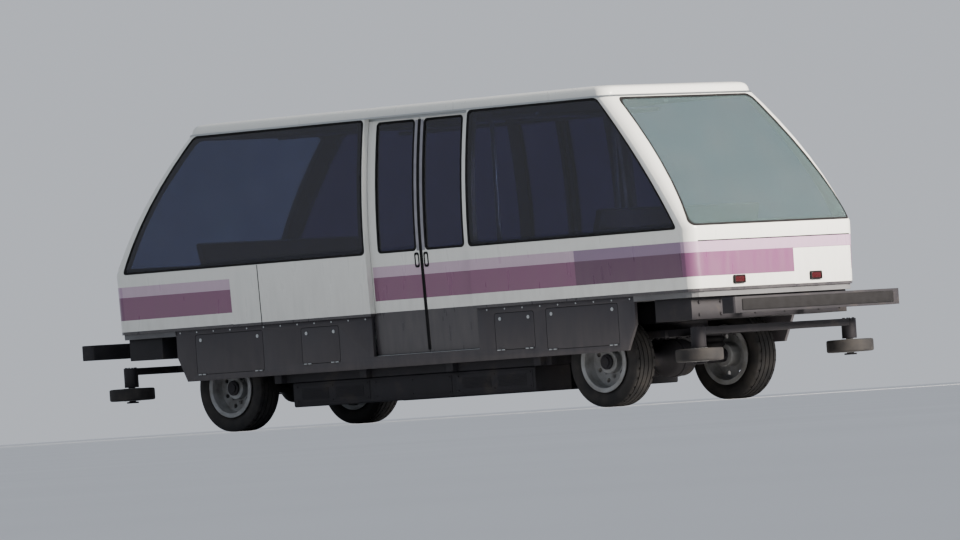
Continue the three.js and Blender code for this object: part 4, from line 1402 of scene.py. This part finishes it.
# Equipment cases: folded steel boxes slung between the sills, with bolted covers and pressed louvres on the
# outer face.
CASE_COVERS = ((-1.37, -0.50), (-0.45, 0.45), (0.50, 1.37))
CASE_COVER_Y = (0.868, 0.8735)
CASE_COVER_HEIGHT = (0.200, 0.355)
CASE_BOLT = (0.8725, 0.879)
CASE_BOLT_IN = 0.025
CASE_BOLTS_Z = (0.218, 0.337)
LOUVRE_Y = (0.8725, 0.8775)
LOUVRE_GROUPS = ((-1.30, -0.98), (-0.90, -0.57), (0.57, 0.90), (0.98, 1.30))
LOUVRES = 9
LOUVRE_START = 0.232
LOUVRE_PITCH = 0.0105
LOUVRE_WIDTH = 0.0045

for side, hand in SIDES:
    case = copy_of(f"equipment_case_{side}", f"steel_case_{side}", frame_paint)
    edged(case, 0.004)
    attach(case, "car_body")
    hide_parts(f"equipment_case_{side}")
    parts = []
    for x0, x1 in CASE_COVERS:
        parts.append(block((x0, x1), span(hand, *CASE_COVER_Y), CASE_COVER_HEIGHT, 0.002))
        for x in (x0 + CASE_BOLT_IN, (x0 + x1) / 2, x1 - CASE_BOLT_IN):
            for z in CASE_BOLTS_Z:
                parts.append(hexagon("y", (x, 0, z), *span(hand, *CASE_BOLT), 0.007))
    for i in range(LOUVRES):
        z = LOUVRE_START + LOUVRE_PITCH * i
        for x0, x1 in LOUVRE_GROUPS:
            parts.append(block((x0, x1), span(hand, *LOUVRE_Y), (z, z + LOUVRE_WIDTH), 0.0015))
    cover = smooth(piece(f"case_covers_{side}", merged(parts), frame_paint))
    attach(cover, "car_body")

# Bumpers: a pressed steel beam across each end on two struts, painted like the chassis and faced with a thick
# black rubber pad.
PAD_REACH = (3.765, 3.788)
PAD_HALF = 0.93
PAD_HEIGHT = (0.708, 0.802)
for end, sign in ENDS:
    beam = copy_of(f"bumper_{end}", f"bumper_beam_{end}", frame_paint)
    edged(beam, 0.006, 3)
    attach(beam, "car_body")
    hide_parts(f"bumper_{end}")
    pad = piece(f"bumper_pad_{end}", block(span(sign, *PAD_REACH), (-PAD_HALF, PAD_HALF), PAD_HEIGHT), rubber)
    edged(pad, 0.009, 3)
    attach(pad, "car_body")

# Trucks: a welded and painted steel frame under each end, with a turntable plate on top, arms out to the
# guide wheels, and two rubber air springs that stand on the axle.
AXLE_Z = 0.370
GUIDE_X = 1.120
GUIDE_Y = 0.925
SPRING_Y = 0.470
PLATE_BOLT = (0.530, 0.541, 0.011)
PLATE_BOLTS_X = (-0.30, -0.16, 0.16, 0.30)
PLATE_BOLTS_Y = 0.425
CAP_BOLT = (0.599, 0.607, 0.008)
CAP_CIRCLE = (0.046, 0.046)
CAP_BOLTS = 6
TURNTABLE_BOLT = (0.528, 0.541, 0.012)
TURNTABLE_CIRCLE = (0.24, 0.24)
TURNTABLE_BOLTS = 16


def revolved(profile, axis, centre, steps, closed=True):
    bm = bmesh.new()
    across, spin_axis = {
        "x": ((0, 0, 1), (1, 0, 0)),
        "y": ((1, 0, 0), (0, 1, 0)),
        "z": ((1, 0, 0), (0, 0, 1)),
    }[axis]
    verts = [bm.verts.new(Vector(across) * radius + Vector(spin_axis) * place) for radius, place in profile]
    pairs = list(zip(verts, verts[1:])) + ([(verts[-1], verts[0])] if closed else [])
    edges = [bm.edges.new(pair) for pair in pairs]
    bmesh.ops.spin(
        bm,
        geom=verts + edges,
        cent=(0, 0, 0),
        axis=spin_axis,
        angle=2 * math.pi,
        steps=steps,
        use_merge=True,
    )
    bmesh.ops.remove_doubles(bm, verts=list(bm.verts), dist=0.000005)
    bmesh.ops.recalc_face_normals(bm, faces=list(bm.faces))
    bmesh.ops.translate(bm, verts=list(bm.verts), vec=centre)
    return bm


# One convoluted air spring: two rubber lobes between a bead ring and a steel foot.
BELLOWS = (
    (0.0, 0.431), (0.088, 0.431), (0.092, 0.436), (0.098, 0.441), (0.108, 0.449), (0.112, 0.460),
    (0.108, 0.472), (0.100, 0.479), (0.0965, 0.484), (0.100, 0.489), (0.108, 0.496), (0.112, 0.508),
    (0.108, 0.520), (0.099, 0.528), (0.094, 0.534), (0.090, 0.5395), (0.0, 0.5395),
)
for end, sign in ENDS:
    body = f"truck_{end}"
    truck = copy_of(f"truck_frame_{end}", f"welded_truck_frame_{end}", frame_paint)
    edged(truck, 0.003)
    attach(truck, body)
    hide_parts(f"truck_frame_{end}")
    for side, hand in SIDES:
        spring = revolved(BELLOWS, "z", (sign * TRUCK_X, hand * SPRING_Y, 0), 40, closed=False)
        spring = smooth(piece(f"air_spring_{end}_{side}", spring, rubber), 60)
        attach(spring, body)
    heads = []
    for _, hand in SIDES:
        for x in PLATE_BOLTS_X:
            heads.append(hexagon("z", (sign * (TRUCK_X + x), hand * PLATE_BOLTS_Y, 0), *PLATE_BOLT))
        pin = (sign * (TRUCK_X + GUIDE_X), hand * GUIDE_Y, 0)
        for spot in ring("z", pin, CAP_CIRCLE, CAP_BOLTS, 0):
            heads.append(hexagon("z", spot, *CAP_BOLT))
    for spot in ring("z", (sign * TRUCK_X, 0, 0), TURNTABLE_CIRCLE, TURNTABLE_BOLTS):
        heads.append(hexagon("z", spot, *TURNTABLE_BOLT))
    bolts = smooth(piece(f"truck_bolts_{end}", merged(heads), frame_paint))
    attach(bolts, body)

# Drive axle and motor: a cast axle with its bowl in the middle, a ring of cover bolts, and a ribbed electric
# motor flanged on behind it, in the same chassis paint.
AXLE = (
    (0.0, -0.832), (0.056, -0.832), (0.062, -0.828), (0.062, -0.812), (0.045, -0.810), (0.045, -0.600),
    (0.060, -0.598), (0.061, -0.230), (0.070, -0.200), (0.100, -0.165), (0.135, -0.130), (0.148, -0.112),
    (0.152, -0.095), (0.152, -0.030), (0.158, -0.026), (0.158, 0.0),
)
MOTOR = (
    (0.0, -0.480), (0.060, -0.480), (0.064, -0.476), (0.125, -0.470), (0.144, -0.458), (0.149, -0.444),
    (0.149, -0.430), (0.150, -0.428), (0.150, -0.240), (0.149, -0.238), (0.149, -0.222), (0.140, -0.208),
    (0.110, -0.201), (0.078, -0.199), (0.075, -0.195), (0.075, -0.1505), (0.0, -0.1505),
)
MOTOR_STEPS = 60
# Cooling fins run along the middle of the motor: every other strip of its skin is sunk between them.
FIN_MIDDLE = 0.334
FIN_HALF = 0.05
FIN_DEPTH = 0.011
COVER_BOLT = (2.235, 2.2535)
COVER_OVAL = (0.118, 0.105)
COVER_BOLTS = 10
HUB_CAP = (0.830, 0.842)
for end, sign in ENDS:
    body = f"truck_{end}"
    profile = [*AXLE, *((radius, -place) for radius, place in reversed(AXLE[:-1]))]
    axle = revolved(profile, "y", (sign * TRUCK_X, 0, AXLE_Z), 48, closed=False)
    axle = smooth(piece(f"cast_axle_{end}", axle, frame_paint))
    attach(axle, body)
    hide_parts(f"drive_axle_{end}")

    profile = [(radius, sign * place) for radius, place in MOTOR]
    motor = revolved(profile, "x", (sign * TRUCK_X, 0, AXLE_Z), MOTOR_STEPS, closed=False)
    valleys = []
    for face in motor.faces:
        spot = face.calc_center_median()
        if abs(abs(spot.x - sign * TRUCK_X) - FIN_MIDDLE) < FIN_HALF:
            turn_share = math.atan2(spot.y, spot.z - AXLE_Z) / (2 * math.pi) * MOTOR_STEPS
            if round(turn_share - 0.5) % 2:
                valleys.append(face)
    sunk = bmesh.ops.extrude_discrete_faces(motor, faces=valleys)["faces"]
    for face in sunk:
        for vert in face.verts:
            out = Vector((0, vert.co.y, vert.co.z - AXLE_Z)).normalized()
            vert.co -= out * FIN_DEPTH
    bmesh.ops.recalc_face_normals(motor, faces=list(motor.faces))
    motor = smooth(piece(f"ribbed_motor_{end}", motor, frame_paint))
    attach(motor, body)
    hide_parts(f"motor_{end}")

    heads = []
    for spot in ring("x", (0, 0, AXLE_Z), COVER_OVAL, COVER_BOLTS):
        heads.append(hexagon("x", spot, *span(sign, *COVER_BOLT), 0.009))
    for _, hand in SIDES:
        heads.append(rod("y", (sign * TRUCK_X, 0, AXLE_Z), *span(hand, *HUB_CAP), 0.040, 24))
    bolts = smooth(piece(f"axle_cover_bolts_{end}", merged(heads), frame_paint))
    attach(bolts, body)

# Road wheels: a pressed steel disc wheel with hand holes, held by eight nuts, and a tubeless ribbed tyre
# that is moulded in rubber and seated on the rim by its own air.

# Grey enamel on pressed steel: half gloss, with brown dust in patches some 110 mm across.
wheel_paint, disc, disc_shader, disc_place = begin("grey_wheel_enamel")
disc_dust = add(
    disc,
    "ShaderNodeTexNoise",
    {"Vector": disc_place, "Scale": 9.0, "Detail": 6.0},
).outputs["Fac"]
disc_tone = add(
    disc,
    "ShaderNodeValToRGB",
    {"Fac": disc_dust},
    ramp=((0.35, "7F8284"), (0.60, "6A6B6B"), (0.82, "3F3B38")),
)
disc_rough = add(
    disc,
    "ShaderNodeMapRange",
    {"Value": disc_dust, "To Min": 0.35, "To Max": 0.8},
).outputs["Result"]
feed(disc_shader, {"Base Color": disc_tone.outputs["Color"], "Roughness": disc_rough})

# Moulded tyre rubber: near black and matt, with dust in patches some 125 mm across. The grain is drawn at 2.5
# mm, coarser than real.
tyre_rubber, tread, tread_shader, tread_place = begin("dusty_tyre_rubber")
tread_dust = add(
    tread,
    "ShaderNodeTexNoise",
    {"Vector": tread_place, "Scale": 8.0, "Detail": 6.0},
).outputs["Fac"]
tread_tone = add(tread, "ShaderNodeValToRGB", {"Fac": tread_dust}, ramp=((0.35, "18181A"), (0.8, "33312F")))
tread_rough = add(
    tread,
    "ShaderNodeMapRange",
    {"Value": tread_dust, "To Min": 0.65, "To Max": 0.92},
).outputs["Result"]
tread_grain = add(
    tread,
    "ShaderNodeTexNoise",
    {"Vector": tread_place, "Scale": 400.0, "Detail": 2.0},
).outputs["Fac"]
tread_bump = add(tread, "ShaderNodeBump", {"Height": tread_grain, "Strength": 0.3, "Distance": 0.0005})
feed(tread_shader, {
    "Specular IOR Level": 0.3,
    "Base Color": tread_tone.outputs["Color"],
    "Roughness": tread_rough,
    "Normal": tread_bump.outputs["Normal"],
})

RIM = (
    (0.0457, 0.610), (0.090, 0.610), (0.095, 0.615), (0.095, 0.716), (0.104, 0.726), (0.190, 0.737),
    (0.206, 0.728), (0.2115, 0.712), (0.2115, 0.628), (0.2485, 0.628), (0.250, 0.632), (0.246, 0.638),
    (0.2325, 0.648), (0.2325, 0.842), (0.246, 0.852), (0.250, 0.858), (0.2485, 0.862), (0.2150, 0.862),
    (0.2115, 0.857), (0.2115, 0.768), (0.204, 0.752), (0.188, 0.747), (0.104, 0.737), (0.095, 0.742),
    (0.095, 0.800), (0.088, 0.8065), (0.0457, 0.8065),
)
HOLE = (0.70, 0.78)
HOLE_CIRCLE = (0.163, 0.163)
HOLES = 8
NUT = (0.738, 0.757)
STUD = (0.738, 0.767)
WASHER = (0.738, 0.742)
NUT_CIRCLE = (0.122, 0.122)
NUTS = 8
TYRE_Y = 0.745
GROOVES = (-0.072, -0.026, 0.026, 0.072)
GROOVE_HALF = 0.0045
GROOVE_DEPTH = 0.009
TREAD_HALF = 0.106
TYRE_RADIUS = 0.370
TYRE_STEPS = 112
# Sipes are cut in the shoulders, outside the last groove and above this radius.
SIPE_ABOVE = 0.3675
SIPE_DEPTH = 0.007


def tyre_profile():
    outer = [(0.2335, -0.086), (0.2505, -0.092), (0.262, -0.104), (0.285, -0.117), (0.310, -0.1235)]
    outer += [(0.330, -0.123), (0.346, -0.119), (0.358, -0.1145), (0.3655, -0.110)]
    outer += [(TYRE_RADIUS - 0.0015, -TREAD_HALF)]
    crown = []
    for centre in GROOVES:
        crown += [
            (TYRE_RADIUS, centre - GROOVE_HALF),
            (TYRE_RADIUS - GROOVE_DEPTH, centre - GROOVE_HALF + 0.001),
            (TYRE_RADIUS - GROOVE_DEPTH, centre + GROOVE_HALF - 0.001),
            (TYRE_RADIUS, centre + GROOVE_HALF),
        ]
    return outer + crown + [(radius, -place) for radius, place in reversed(outer)]


for end, sign in ENDS:
    for side, hand in SIDES:
        body = f"wheel_{end}_{side}"
        hub = (sign * TRUCK_X, 0, AXLE_Z)
        rim = revolved([(radius, hand * place) for radius, place in RIM], "y", hub, 64)
        rim = piece(f"steel_disc_wheel_{end}_{side}", rim, wheel_paint)
        holes = []
        for spot in ring("y", hub, HOLE_CIRCLE, HOLES):
            holes.append(rod("y", spot, *span(hand, *HOLE), 0.019))
        carve(rim, piece("holes", merged(holes), wheel_paint))
        smooth(rim)
        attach(rim, body)
        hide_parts(f"rim_{end}_{side}")

        nuts = []
        for spot in ring("y", hub, NUT_CIRCLE, NUTS, 0):
            nuts.append(hexagon("y", spot, *span(hand, *NUT), 0.0145))
            nuts.append(rod("y", spot, *span(hand, *STUD), 0.0075, 12))
            nuts.append(rod("y", spot, *span(hand, *WASHER), 0.0185, 16))
        nuts = smooth(piece(f"wheel_nuts_{end}_{side}", merged(nuts), wheel_paint))
        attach(nuts, body)

        tyre = revolved(tyre_profile(), "y", (hub[0], hand * TYRE_Y, AXLE_Z), TYRE_STEPS)
        shoulders = []
        for face in tyre.faces:
            spot = face.calc_center_median()
            away = abs(spot.y - hand * TYRE_Y)
            high = math.hypot(spot.x - hub[0], spot.z - AXLE_Z)
            around = math.atan2(spot.z - AXLE_Z, spot.x - hub[0]) / (2 * math.pi) * TYRE_STEPS
            if away > GROOVES[-1] + GROOVE_HALF and high > SIPE_ABOVE and round(around - 0.5) % 4 == 0:
                shoulders.append(face)
        sipes = bmesh.ops.extrude_face_region(tyre, geom=shoulders)["geom"]
        for vert in (v for v in sipes if isinstance(v, bmesh.types.BMVert)):
            out = Vector((vert.co.x - hub[0], 0, vert.co.z - AXLE_Z)).normalized()
            vert.co -= out * SIPE_DEPTH
        bmesh.ops.delete(tyre, geom=shoulders, context="FACES_ONLY")
        bmesh.ops.recalc_face_normals(tyre, faces=list(tyre.faces))
        tyre = smooth(piece(f"ribbed_tyre_{end}_{side}", tyre, tyre_rubber), 38)
        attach(tyre, body)
        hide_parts(f"tyre_{end}_{side}")

# Guide wheels: small solid rubber tyres bonded to steel hubs, lying flat at the ends of the truck arms, each
# held by a ring of bolts and a bearing cap.
GUIDE_TYRE = (
    (0.1315, 0.3225), (0.150, 0.322), (0.178, 0.3235), (0.190, 0.327), (0.1945, 0.335), (0.195, 0.345),
    (0.195, 0.405), (0.1945, 0.415), (0.190, 0.423), (0.178, 0.4265), (0.150, 0.428), (0.1315, 0.4275),
)
GUIDE_HUB = (
    (0.031, 0.320), (0.070, 0.320), (0.075, 0.325), (0.077, 0.346), (0.084, 0.350), (0.120, 0.350),
    (0.126, 0.346), (0.128, 0.322), (0.1325, 0.322), (0.1325, 0.428), (0.128, 0.428), (0.126, 0.404),
    (0.120, 0.400), (0.084, 0.400), (0.077, 0.404), (0.075, 0.425), (0.070, 0.430), (0.031, 0.430),
)
HUB_BOLT = (0.341, 0.409, 0.010)
HUB_CIRCLE = (0.102, 0.102)
HUB_BOLTS = 6
for end, sign in ENDS:
    for side, hand in SIDES:
        body = f"guide_wheel_{end}_{side}"
        pin = (sign * (TRUCK_X + GUIDE_X), hand * GUIDE_Y, 0)
        solid_tyre = revolved(GUIDE_TYRE, "z", pin, 64)
        solid_tyre = smooth(piece(f"solid_guide_tyre_{end}_{side}", solid_tyre, tyre_rubber), 45)
        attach(solid_tyre, body)
        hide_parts(f"guide_wheel_{end}_{side}")
        hub_form = [revolved(GUIDE_HUB, "z", pin, 48)]
        for spot in ring("z", pin, HUB_CIRCLE, HUB_BOLTS):
            hub_form.append(hexagon("z", spot, *HUB_BOLT))
        hub_form = smooth(piece(f"guide_hub_{end}_{side}", merged(hub_form), wheel_paint))
        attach(hub_form, body)

for spare in (outside, shell, rebate_layer, groove_layer, glass_layer, strip_layer):
    discard(spare)
